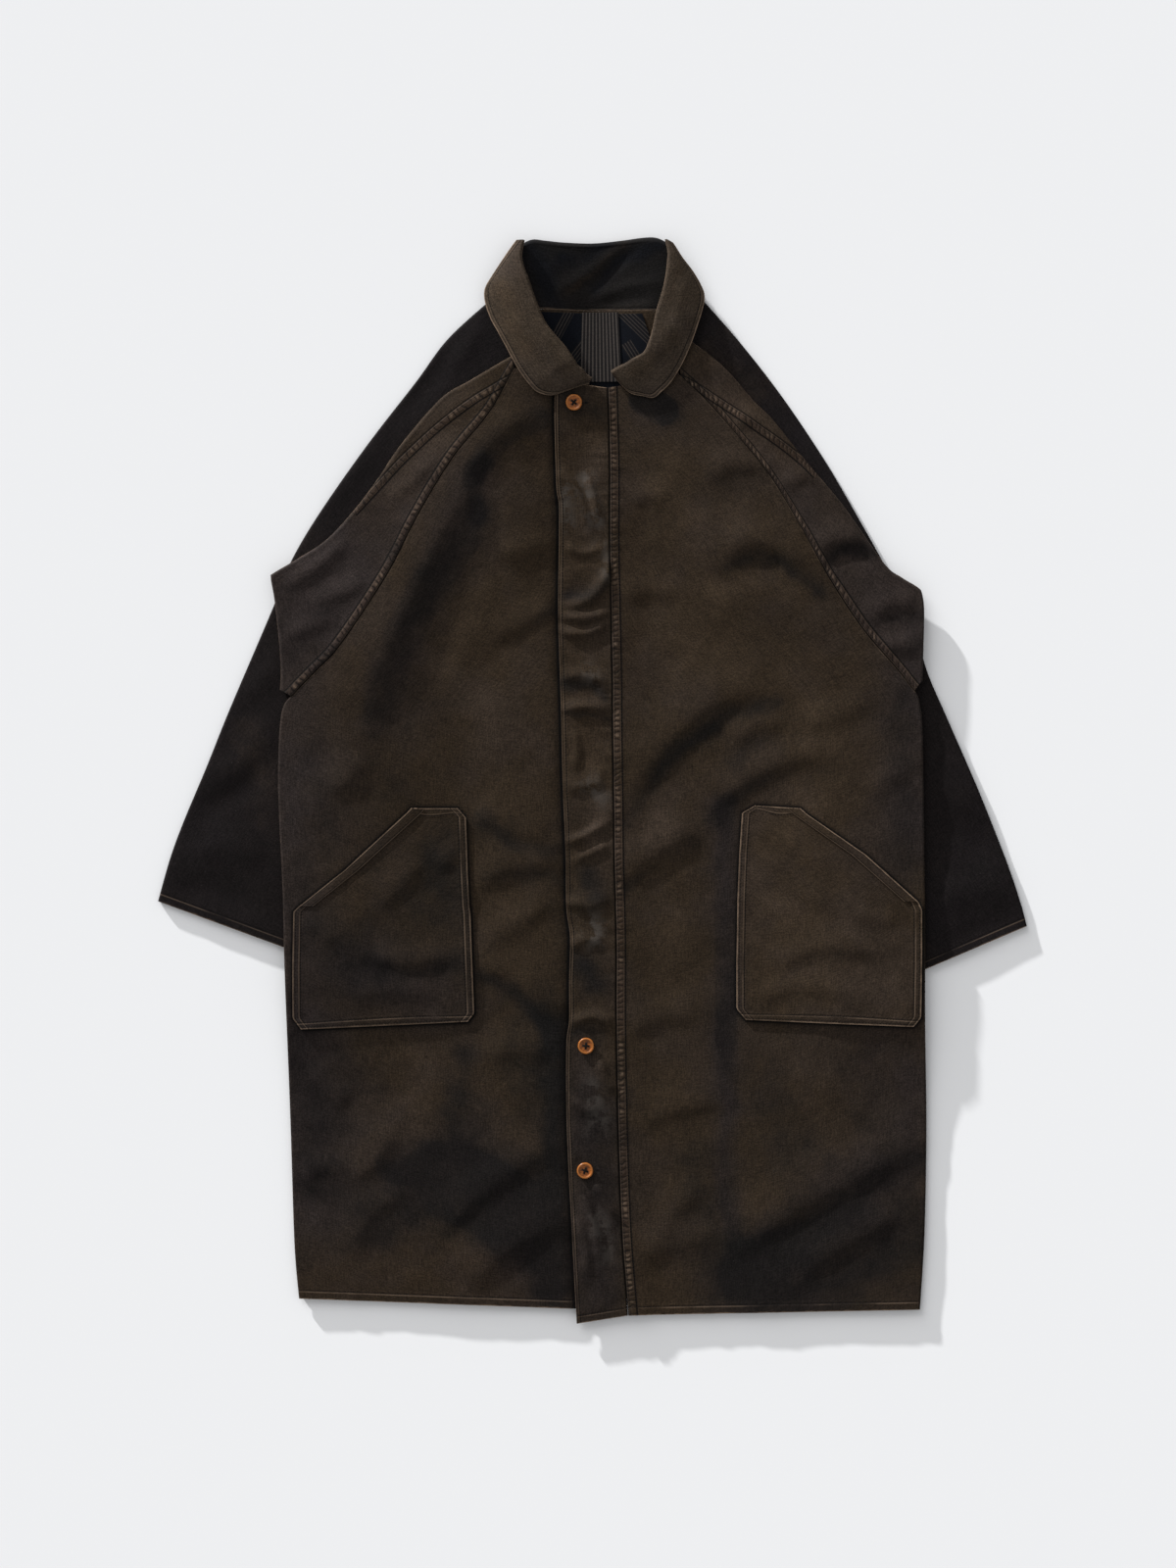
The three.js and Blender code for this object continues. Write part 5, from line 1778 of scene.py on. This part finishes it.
def make_sleeves():
    """Make the two sleeves that are folded behind the body"""
    shades = colours()
    material = waxed_cotton("Waxed cotton, sleeves", shades.charcoal, shades.sleeve, shades.body, [
        ("worn", "from_hem", 1.6, 0.7),
        ("stitch", "from_hem", 9.5, 1.0),
    ])
    for side, table in (("right", SLEEVE_RIGHT_SECTIONS), ("left", SLEEVE_LEFT_SECTIONS)):
        rows = row_numbers(table, SLEEVE_GRID[0])
        ruled = Ruled(table, rows)
        crown = (SLEEVE_CROWN - SLEEVE_EDGE) * (0.6 + 0.4 * np.sin(np.pi * rows / (len(table) - 1)))[:, None]
        points = tube_surface(ruled, SLEEVE_GRID[1], crown, SLEEVE_CREASES + SLEEVE_TOP_CREASES)
        add_cloth(
            f"sleeve_{side}", points, sizes().shell_thickness, material,
            (0.35, 0.75, 0.165), tone_values(SLEEVE_MARKS, points), closed=True,
        )


def make_sleeve_fronts():
    """Make the parts of the sleeves that lie level with the fronts"""
    for side, folds, front, shoulder in (
        ("right", SLEEVE_FRONT_RIGHT_SECTIONS, FRONT_RIGHT_SECTIONS, SHOULDER_SEAM_RIGHT),
        ("left", SLEEVE_FRONT_LEFT_SECTIONS, FRONT_LEFT_SECTIONS, SHOULDER_SEAM_LEFT),
    ):
        def seam(rows):
            fold = curve_points(folds, 0, rows)
            sewn = curve_points(front, 0, column_at(folds, 2, rows))
            share = RAGLAN_GAP / np.hypot(*(fold - sewn).T)
            return sewn + share[:, None] * (fold - sewn)

        def under(x, y, share):
            return np.maximum(CAP_RETURN, front_height(x, y) - SLEEVE_RETURN_DROP)

        def top(x, y, share):
            body = front_height(x, y)
            fade = smooth(0, 0.2, share) * smooth(1, 0.8, share)
            return body + creases(SLEEVE_FRONT_CREASES, x, y) * fade

        rows = row_numbers(folds, SLEEVE_FRONT_GRID[0], second_edge=seam)
        ruled = Ruled(folds, rows, seam)
        points = folded_surface(ruled, SLEEVE_FRONT_GRID[1], SLEEVE_RETURN_LENGTH, top, under)
        x, y = points[:, :, 0], points[:, :, 1]
        away, turn, share = line_distance(shoulder, x, y)
        lower = turn > 0 if side == "left" else turn < 0
        inside = np.where((share > 0.0) & (share < 1.0), 0.0, 40.0)
        values = tone_values(SLEEVE_FRONT_MARKS, points, 0.02)
        # They turn from brown to grey on the way down
        values["grey"] = np.clip(values["grey"] + 0.8 * smooth(400, 250, y), 0, 1)
        values["from_shoulder"] = np.where(lower, away, -away) + inside
        add_allowance(points, RAGLAN_STRIP_WIDTH, "from_end")
        details = [
            ("strip", "from_end", RAGLAN_STRIP_WIDTH, 7.4),
            ("stitch", "from_end", 2.0, 0.8),
            ("stitch", "from_end", RAGLAN_STRIP_WIDTH + 0.9, 0.5),
            ("ditch", "from_end", 1.2, 0.6),
            ("seam", "from_shoulder", 7.2, 7.4),
            ("worn", "from_fold", 1.7, 0.9),
        ]
        material = body_cotton(f"{side} sleeve front", details)
        add_cloth(
            f"sleeve_front_{side}", points, sizes().shell_thickness, material,
            (0.14, 0.46, 0.033), values, details,
        )


def make_placket():
    """Make the placket"""
    def seam(rows):
        points = curve_points(FRONT_LEFT_SECTIONS, 2, column_at(PLACKET_SECTIONS, 2, rows))
        return points - [PLACKET_SEAM_GAP, 0]

    rows = row_numbers(PLACKET_SECTIONS, PLACKET_GRID[0], second_edge=seam)
    points = panel_surface(Ruled(PLACKET_SECTIONS, rows, seam), PLACKET_GRID[1], placket_height)
    details = [
        ("worn", "from_start", 0.9, 0.3),
        ("worn", "from_hem", 1.3, 0.9),
        ("worn", "from_top", 1.2, 0.9),
        ("stitch", "from_start", 4.4, 1.2),
        ("stitch", "from_hem", 8.5, 0.9),
        ("ditch", "from_end", 1.2, 0.7),
        ("shade", "from_slot", 2.6, 0.6),
    ]
    material = body_cotton("placket", details)
    values = tone_values(PLACKET_MARKS, points, rubs_and_sheen=PLACKET_RUBS_AND_SHEEN)
    x, y = points[:, :, 0], points[:, :, 1]
    values["from_slot"] = np.min([
        outline_distance([(button_x + 11.5, button_y), (button_x + 15, button_y)], x, y)
        for _, button_x, button_y, _ in BUTTONS
    ], axis=0)
    add_cloth(
        "placket", points, sizes().shell_thickness + PLACKET_EXTRA, material,
        (0.062, 1.02, 0.057), values, details,
    )


def pocket_heights(ruled, last_row, distances, above):
    x, y = ruled.place(distances)
    puff = POCKET_CROWN * np.sin(np.pi * distances / ruled.width[:, None])
    puff = puff * np.sin(np.pi * ruled.rows[:, None] / last_row)
    inside = smooth(0, 24, distances) * smooth(0, 24, ruled.width[:, None] - distances)
    own = np.maximum(0, creases(POCKET_CREASES, x, y)) * inside
    rest = front_height(x, y) + CLOTH / 2 + LAYER_GAP + POCKET_CLOTH / 2
    return np.stack([x, y, rest + puff + own + above], axis=2)


def make_pockets():
    """Make the patch pockets and the bands along their mouths"""
    rows_of_stitches = []
    for edge in EDGES:
        rows_of_stitches += [("stitch", edge, 2.6, 0.6), ("stitch", edge, POCKET_HEM_WIDTH + 0.4, 1.3)]
    for side, table, offset, wear in (
        ("right", POCKET_RIGHT_SECTIONS, -0.25, 0.5), ("left", POCKET_LEFT_SECTIONS, 0.25, 0.95)
    ):
        edges = [("worn", edge, 1.9, wear) for edge in EDGES]
        last_row = len(table) - 1
        rows = row_numbers(table, POCKET_GRID[0], edge=straight_points)
        ruled = Ruled(table, rows, edge=straight_points)
        distances = edge_distances(ruled.width, POCKET_GRID[1])
        points = pocket_heights(ruled, last_row, distances, 0)
        add_allowance(points, POCKET_HEM_WIDTH, *EDGES)
        material = body_cotton(f"{side} pocket", edges + rows_of_stitches)
        add_cloth(
            f"pocket_{side}", points, sizes().pocket_thickness, material, (0.21, 0.245, 0.040),
            tone_values(POCKET_MARKS, points, offset), rows_of_stitches, trim=1,
        )

        above = POCKET_CLOTH / 2 + SEAM_GAP + BAND_CLOTH / 2
        rows = row_numbers(
            table, POCKET_GRID[0], first=POCKET_BAND_START, last=POCKET_MOUTH_ROWS, edge=straight_points
        )
        ruled = Ruled(table, rows, edge=straight_points)
        shares = np.linspace(0, 1, 9)[None, :]
        distances = POCKET_BAND_INSET + (POCKET_BAND_WIDTH - POCKET_BAND_INSET) * shares
        distances = distances + 0 * ruled.width[:, None]
        points = pocket_heights(ruled, last_row, distances, above)
        material = body_cotton(f"{side} pocket band", [
            ("worn", "from_start", 1.4, wear),
            ("worn", "from_end", 0.9, wear / 2),
            ("stitch", "from_start", 2.2, 0.8),
            ("stitch", "from_end", 1.8, 1.0),
        ])
        add_cloth(
            f"pocket_band_{side}", points, BAND_THICKNESS, material,
            (0.016, 0.17, 0.0017), tone_values(POCKET_MARKS, points, offset),
        )


def make_collar():
    """Make the collar leaves and the back of the collar"""
    shades = colours()
    details = [
        ("worn", "from_end", 1.9, 1.0),
        ("worn", "from_fold", 1.6, 0.8),
        ("stitch", "from_end", 5.2, 1.2),
    ]
    leaf_material = waxed_cotton("Waxed cotton, collar", shades.body, shades.collar, shades.faded, details)
    for side, table in (("right", LEAF_RIGHT_SECTIONS), ("left", LEAF_LEFT_SECTIONS)):
        rows = row_numbers(table, LEAF_GRID[0])

        def top(x, y, share):
            fold = column_at(table, 4, rows)[:, None]
            free = column_at(table, 5, rows)[:, None]
            finer = creases(LEAF_CREASES, x, y) * smooth(0, 0.25, share) * smooth(1, 0.7, share)
            return free + (fold - free) * (1 - share * share) + finer

        def under(x, y, share):
            stand = column_at(table, 6, rows)[:, None]
            fold = np.maximum(column_at(table, 4, rows)[:, None] - LEAF_FOLD_DEPTH, stand)
            return fold + (np.minimum(stand, fold) - fold) * np.minimum(share * 2, 1)

        points = folded_surface(Ruled(table, rows), LEAF_GRID[1], LEAF_UNDER_LENGTH, top, under)
        add_cloth(
            f"collar_leaf_{side}", points, sizes().shell_thickness, leaf_material,
            (0.09, 0.21, 0.0128), tone_values(LEAF_MARKS, points, 0.05), details,
        )

    neck_right_x, neck_right_y, neck_left_x, neck_left_y = BACK_NECK
    table = [(x, y, seam_x, 0) for x, y, seam_x, _ in COLLAR_BACK_SECTIONS]

    def seam(rows):
        x = column_at(COLLAR_BACK_SECTIONS, 2, rows)
        y = np.interp(x, [neck_right_x, neck_left_x], [neck_right_y, neck_left_y]) + SEAM_GAP
        return np.stack([x, y], axis=1)

    rows = row_numbers(table, COLLAR_BACK_GRID[0], second_edge=seam)

    def stand(x, y, share):
        fold = column_at(COLLAR_BACK_SECTIONS, 3, rows)[:, None]
        foot = back_height(*seam(rows).T)[:, None]
        finer = creases(COLLAR_BACK_CREASES, x, y) * smooth(0, 0.2, share) * smooth(1, 0.85, share)
        return fold + (foot - fold) * share + finer

    def fall(x, y, share):
        return FLOOR_LAYER + 0 * x

    points = folded_surface(Ruled(table, rows, seam), COLLAR_BACK_GRID[1], FALL_LENGTH, stand, fall)
    x, y = points[:, :, 0].copy(), points[:, :, 1]
    # Its side edges spread under the leaves, so that no floor shows between them
    under_leaf = smooth(35, 70, np.abs(x)) * smooth(508, 540, y) * smooth(584, 560, y)
    points[:, :, 0] += COLLAR_SPREAD * np.sign(x) * under_leaf
    material = waxed_cotton("Waxed cotton, collar stand", shades.lining, shades.charcoal, shades.body, [
        ("worn", "from_end", 1.3, 0.7),
        ("worn", "from_fold", 1.6, 0.5),
        ("stitch", "from_end", 3.0, 0.8),
    ])
    add_cloth(
        "collar_back", points, sizes().shell_thickness, material,
        (0.18, 0.13, 0.021), tone_values(COLLAR_BACK_MARKS, points, -0.1),
    )


def lining_material():
    """Dark twill with a few diagonal facings in the tape's stripe"""
    material, make = start_material("Lining twill")
    shades = colours()
    place = make.object_place()
    cut = make.cut_place()
    weave = make.use(group("Twill weave"), Cut=cut)
    mottle = make.use(group("Aged dye and painted shade"), Place=place)["Mottle"]
    split = make.node("ShaderNodeSeparateXYZ", {"Vector": place}).outputs
    colour = make.blend(mottle, with_alpha(shades.lining, 0.7), with_alpha(shades.lining, 1.6))
    stripe_colour = make.blend(mottle, with_alpha(shades.stripe, 0.3), with_alpha(shades.stripe, 0.8))
    for x0, y0, x1, y1, width in STRIPED_FACINGS:
        length = math.hypot(x1 - x0, y1 - y0)
        across_x, across_y = (y1 - y0) / length, -(x1 - x0) / length
        offset = -(across_x * x0 + across_y * y0)
        across = make.plus(
            make.times(split[0], across_x / MILLIMETRE),
            make.scaled(split[1], across_y / MILLIMETRE, offset),
        )
        inside = make.between(make.math("ABSOLUTE", across), width / 2 + 0.3, width / 2 - 0.3)
        start = -(x0 * (x1 - x0) + y0 * (y1 - y0)) / length
        along = make.plus(
            make.times(split[0], (x1 - x0) / length / MILLIMETRE),
            make.scaled(split[1], (y1 - y0) / length / MILLIMETRE, start),
        )
        past_middle = make.math("ABSOLUTE", make.math("SUBTRACT", along, length / 2))
        inside = make.times(inside, make.between(past_middle, length / 2 + 1, length / 2 - 1))
        wave = make.math("SINE", make.times(across, math.tau / FACING_STRIPE_SPACING))
        line = make.times(make.between(wave, 0.35, 0.8), inside)
        colour = make.blend(make.times(inside, 0.6), colour, FACING_DARK)
        colour = make.blend(make.times(line, 0.8), colour, stripe_colour)
    rough = make.scaled(mottle, 0.2, 0.7)
    finish_material(make, colour, rough, weave["Height"], MILLIMETRE, 0.04)
    return material


def tape_material():
    """Striped tape: light stripes that follow its length"""
    material, make = start_material("Striped tape")
    shades = colours()
    place = make.object_place()
    cut = make.cut_place()
    weave = make.use(group("Twill weave"), Cut=cut)
    mottle = make.use(group("Aged dye and painted shade"), Place=place)["Mottle"]
    start = make.distance("from_start")
    end = make.distance("from_end")
    share = make.math("DIVIDE", start, make.plus(start, end))
    wave = make.math("SINE", make.times(share, math.tau * TAPE_STRIPES))
    line = make.between(wave, 0.0, 0.8)
    dark = make.blend(mottle, *TAPE_DARK)
    light = make.blend(mottle, with_alpha(shades.stripe, 0.55), with_alpha(shades.stripe, 1.0))
    colour = make.blend(line, dark, light)
    height = make.plus(weave["Height"], make.times(line, 0.05))
    rough = make.scaled(mottle, 0.2, 0.7)
    finish_material(make, colour, rough, height, MILLIMETRE, 0.05)
    return material


def make_neck():
    """Make the lining and the striped tape inside the neck"""
    def lining_height(x, y):
        return back_height(x, y) + CLOTH / 2 + LAYER_GAP + LINING_CLOTH / 2

    def tape_height(x, y):
        return lining_height(x, y) + LINING_CLOTH / 2 + LAYER_GAP + TAPE_CLOTH / 2

    for node, table, height, thickness, material, cut, rests_on in (
        ("neck_lining", NECK_LINING_SECTIONS, lining_height, LINING_THICKNESS,
         lining_material(), (0.175, 0.11, 0.0158), "coat_back"),
        ("neck_tape", NECK_TAPE_SECTIONS, tape_height, TAPE_THICKNESS,
         tape_material(), (0.046, 0.076, 0.0032), "coat_neck_lining"),
    ):
        ruled = Ruled(table, row_numbers(table, NECK_GRID[0]))
        points = panel_surface(ruled, NECK_GRID[1], height)
        piece = add_cloth(node, points, thickness, material, cut)
        piece.modifiers["Cut edges"].width = thickness / 5


def button_material():
    """Amber brown, streaked like wood or horn, darker in the thread holes and paler on the rim"""
    material, make = start_material("Amber button")
    amber = colours().button
    place = make.object_place()
    streaks = make.noise(make.stretched(place, (260, 900, 260)), 1, 4, 0.6)
    clouds = make.noise(place, 210, 3)
    mix = make.plus(make.times(streaks, 0.6), make.times(clouds, 0.4))
    colour = make.blend(make.between(mix, 0.36, 0.62), with_alpha(amber, 0.35), with_alpha(amber))
    rim = make.distance("rim")
    colour = make.blend(make.times(rim, 0.45), colour, BUTTON_RIM_COLOUR)
    colour = make.blend(make.distance("hole"), colour, BUTTON_HOLE_COLOUR)
    rough = make.scaled(mix, 0.2, 0.22)
    polish = {"Coat Weight": 0.06, "Coat Roughness": 0.25}
    finish_material(make, colour, rough, make.times(streaks, 0.025), MILLIMETRE, 0.25, **polish)
    return material


def thread_material():
    """Dark twisted thread, made once and shared by every row of stitches"""
    if "Sewing thread" in bpy.data.materials:
        return bpy.data.materials["Sewing thread"]
    material, make = start_material("Sewing thread")
    thread = colours().thread
    place = make.object_place()
    twist = make.noise(place, 2400, 2)
    colour = make.blend(twist, with_alpha(thread, 0.3), with_alpha(thread, 1.2))
    finish_material(make, colour, make.scaled(twist, 0.2, 0.6), twist, MILLIMETRE / 10, 0.05)
    return material


def button_rest(x, y):
    around = np.radians(np.arange(0, 360, 60))
    reach = BUTTON_DIAMETER / 2
    ring_x, ring_y = x + reach * np.cos(around), y + reach * np.sin(around)
    base = FRONT_REST + lift(ring_x, ring_y) + soft_folds(ring_x, ring_y) + PLACKET_RISE
    return float(base.max()) + PLACKET_CLOTH / 2 + SEAM_GAP


def add_pins(target, place, radius, length, height, segments):
    """Adds an upright pin in each of a button's thread holes"""
    offset = THREAD_HOLE_SPACING / 2
    for side_x, side_y in THREAD_HOLE_SIDES:
        middle = (side_x * offset * MILLIMETRE, side_y * offset * MILLIMETRE, height * MILLIMETRE)
        bmesh.ops.create_cone(
            target, cap_ends=True, segments=segments, depth=length * MILLIMETRE,
            radius1=radius * MILLIMETRE, radius2=radius * MILLIMETRE,
            matrix=place @ Matrix.Translation(middle),
        )


def button_mesh(name, place):
    """A turned button with a raised rim, a dished face, and four holes"""
    radius = BUTTON_DIAMETER / 2
    # Half outline. Columns: distance from the axis, height.
    profile = [
        (0, 0), (radius - 2.2, 0), (radius - 0.9, 0.35), (radius - 0.1, 1.1), (radius, 1.7),
        (radius - 0.25, 2.5), (radius - 0.8, 3.05), (radius - 1.4, BUTTON_THICKNESS), (radius - 1.95, 3.0),
        (radius - BUTTON_RIM - 0.3, 2.6), (radius - BUTTON_RIM - 1.1, 2.3), (2.0, 2.2), (0, 2.2),
    ]
    turned = bmesh.new()
    corners = [turned.verts.new((r * MILLIMETRE, 0, z * MILLIMETRE)) for r, z in profile]
    edges = [turned.edges.new(pair) for pair in zip(corners, corners[1:])]
    bmesh.ops.spin(
        turned, geom=corners + edges, cent=(0, 0, 0), axis=(0, 0, 1), angle=math.tau, steps=48, use_merge=True
    )
    bmesh.ops.remove_doubles(turned, verts=turned.verts, dist=1e-6)
    bmesh.ops.recalc_face_normals(turned, faces=turned.faces)
    button = add_object(name, mesh_from(turned, name))

    drill = bmesh.new()
    add_pins(drill, Matrix(), THREAD_HOLE_DIAMETER / 2, THREAD_HOLE_DEPTH, 0, 14)
    cutter = add_object("pins", mesh_from(drill, "pins"))
    cut = button.modifiers.new("Thread holes", "BOOLEAN")
    cut.operation = "DIFFERENCE"
    cut.solver = "EXACT"
    cut.object = cutter
    bpy.context.view_layer.update()
    finished = bpy.data.meshes.new_from_object(button.evaluated_get(bpy.context.evaluated_depsgraph_get()))
    button.modifiers.clear()
    button.data = finished
    bpy.data.objects.remove(cutter)

    co = np.empty(len(finished.vertices) * 3)
    finished.vertices.foreach_get("co", co)
    co = co.reshape(-1, 3) / MILLIMETRE
    from_axis = np.hypot(co[:, 0], co[:, 1])
    rim = smooth(radius - 2.4, radius - 1.4, from_axis) * smooth(2.2, 3.0, co[:, 2])
    offset = THREAD_HOLE_SPACING / 2
    hole_distance = np.min([
        np.hypot(co[:, 0] - side_x * offset, co[:, 1] - side_y * offset)
        for side_x, side_y in THREAD_HOLE_SIDES
    ], axis=0)
    hole = (hole_distance < THREAD_HOLE_DIAMETER / 2 + 0.05).astype(float)
    for label, value in (("rim", rim), ("hole", hole)):
        finished.attributes.new(label, "FLOAT", "POINT").data.foreach_set("value", value)
    finished.transform(place)
    finished.shade_smooth()
    finished.set_sharp_from_angle(angle=math.radians(50))
    return button


def make_buttons():
    """Make the three buttons and the thread that holds them"""
    amber = button_material()
    for name, x, y, turn in BUTTONS:
        z = button_rest(x, y)
        place = Matrix.Translation((x * MILLIMETRE, y * MILLIMETRE, z * MILLIMETRE)) @ Matrix.Rotation(
            math.radians(turn), 4, "Z"
        )
        piece = button_mesh(f"coat_{name}", place)
        piece.data.materials.clear()
        piece.data.materials.append(amber)
        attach(piece, "root")
        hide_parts(name)

        sewing = bmesh.new()
        for angle in (45, 135):
            for shift in (-CROSS_SHIFT, CROSS_SHIFT):
                matrix = (
                    place
                    @ Matrix.Rotation(math.radians(angle), 4, "Z")
                    @ Matrix.Translation((0, shift * MILLIMETRE, CROSS_HEIGHT * MILLIMETRE))
                    @ Matrix.Diagonal((*(half * MILLIMETRE for half in CROSS_HALF_SIZES), 1))
                )
                bmesh.ops.create_uvsphere(sewing, u_segments=10, v_segments=8, radius=1, matrix=matrix)
        add_pins(sewing, place, STRAND_RADIUS, STRAND_LENGTH, STRAND_HEIGHT, 8)
        mesh = mesh_from(sewing, f"coat_{name}_thread")
        mesh.shade_smooth()
        mesh.materials.append(thread_material())
        stitches = add_object(mesh.name, mesh)
        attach(stitches, "root")


# Stage, in metres and degrees. Both lights travel the same way over the floor.
# Columns of the lights: name, strength, apparent size, height above the horizon.
FLOOR_HALF_SIZE = 6
WORLD_COLOUR = (0.985, 0.99, 1.0, 1.0)
WORLD_STRENGTH = 0.56
LIGHTS = (("Key light", 6.4, 1.6, 9.0), ("Soft light", 1.35, 40, 28))
LIGHT_TRAVEL = (0.568, -0.823)
CAMERA_LENS = 85
CAMERA_SENSOR = 36
CAMERA_SIGHT = 50
CAMERA_PLACE = (-0.0048, -0.0037, 4.016)


def make_stage():
    """Make the floor, the lights and the camera"""
    scene = bpy.context.scene
    shades = colours()
    ground = bmesh.new()
    bmesh.ops.create_grid(ground, x_segments=2, y_segments=2, size=FLOOR_HALF_SIZE)
    mesh = mesh_from(ground, "coat_floor")
    floor = add_object("coat_floor", mesh)
    material = bpy.data.materials.new("Pale floor")
    material.use_nodes = True
    surface = material.node_tree.nodes["Principled BSDF"]
    surface.inputs["Base Color"].default_value = with_alpha(shades.floor)
    surface.inputs["Roughness"].default_value = 1.0
    surface.inputs["Specular IOR Level"].default_value = 0.0
    mesh.materials.append(material)

    world = bpy.data.worlds.new("Studio")
    world.use_nodes = True
    background = world.node_tree.nodes["Background"]
    background.inputs["Color"].default_value = WORLD_COLOUR
    background.inputs["Strength"].default_value = WORLD_STRENGTH
    scene.world = world

    for name, strength, spread, height in LIGHTS:
        sun = bpy.data.lights.new(name, "SUN")
        sun.energy = strength
        sun.angle = math.radians(spread)
        elevation = math.radians(height)
        level = math.cos(elevation)
        travel = Vector((LIGHT_TRAVEL[0] * level, LIGHT_TRAVEL[1] * level, -math.sin(elevation)))
        light = add_object(name, sun)
        light.rotation_euler = travel.to_track_quat("-Z", "Y").to_euler()
    scene.view_settings.view_transform = "Standard"

    lens = bpy.data.cameras.new("Camera")
    lens.lens = CAMERA_LENS
    lens.sensor_width = CAMERA_SENSOR
    lens.clip_end = CAMERA_SIGHT
    camera = add_object("Camera", lens)
    camera.location = CAMERA_PLACE
    scene.camera = camera


def piece_operator(name, label, make):
    """An operator that makes one part of the coat. Its description is that of the function that it calls."""

    def execute(self, context):
        make()
        return {"FINISHED"}

    return type(f"COAT_OT_{name}", (bpy.types.Operator,), {
        "__doc__": make.__doc__,
        "bl_idname": f"coat.{name}",
        "bl_label": label,
        "execute": execute,
    })


OPERATORS = [
    piece_operator("stage", "Stage", make_stage),
    piece_operator("sleeves", "Sleeves", make_sleeves),
    piece_operator("back", "Back", make_back),
    piece_operator("fronts", "Fronts", make_fronts),
    piece_operator("sleeve_fronts", "Sleeve fronts", make_sleeve_fronts),
    piece_operator("placket", "Placket", make_placket),
    piece_operator("pockets", "Pockets", make_pockets),
    piece_operator("collar", "Collar", make_collar),
    piece_operator("neck", "Neck lining and tape", make_neck),
    piece_operator("buttons", "Buttons", make_buttons),
]


class COAT_PT_panel(bpy.types.Panel):
    """Sizes, colours and the pieces of the overcoat"""

    bl_label = "Overcoat"
    bl_idname = "COAT_PT_panel"
    bl_space_type = "VIEW_3D"
    bl_region_type = "UI"
    bl_category = "Overcoat"

    def draw(self, context):
        layout = self.layout
        for group_name in ("coat_sizes", "coat_colours"):
            settings = getattr(context.scene, group_name)
            column = layout.column(align=True)
            for name in settings.__annotations__:
                column.prop(settings, name)
        column = layout.column(align=True)
        for operator in OPERATORS:
            column.operator(operator.bl_idname)


CLASSES = [CoatSizes, CoatColours, *OPERATORS, COAT_PT_panel]


def register():
    for item in CLASSES:
        bpy.utils.register_class(item)
    bpy.types.Scene.coat_sizes = PointerProperty(type=CoatSizes)
    bpy.types.Scene.coat_colours = PointerProperty(type=CoatColours)


def unregister():
    del bpy.types.Scene.coat_colours
    del bpy.types.Scene.coat_sizes
    for item in reversed(CLASSES):
        bpy.utils.unregister_class(item)


def main():
    register()
    for operator in OPERATORS:
        category, name = operator.bl_idname.split(".")
        getattr(getattr(bpy.ops, category), name)()


if __name__ == "__main__":
    main()
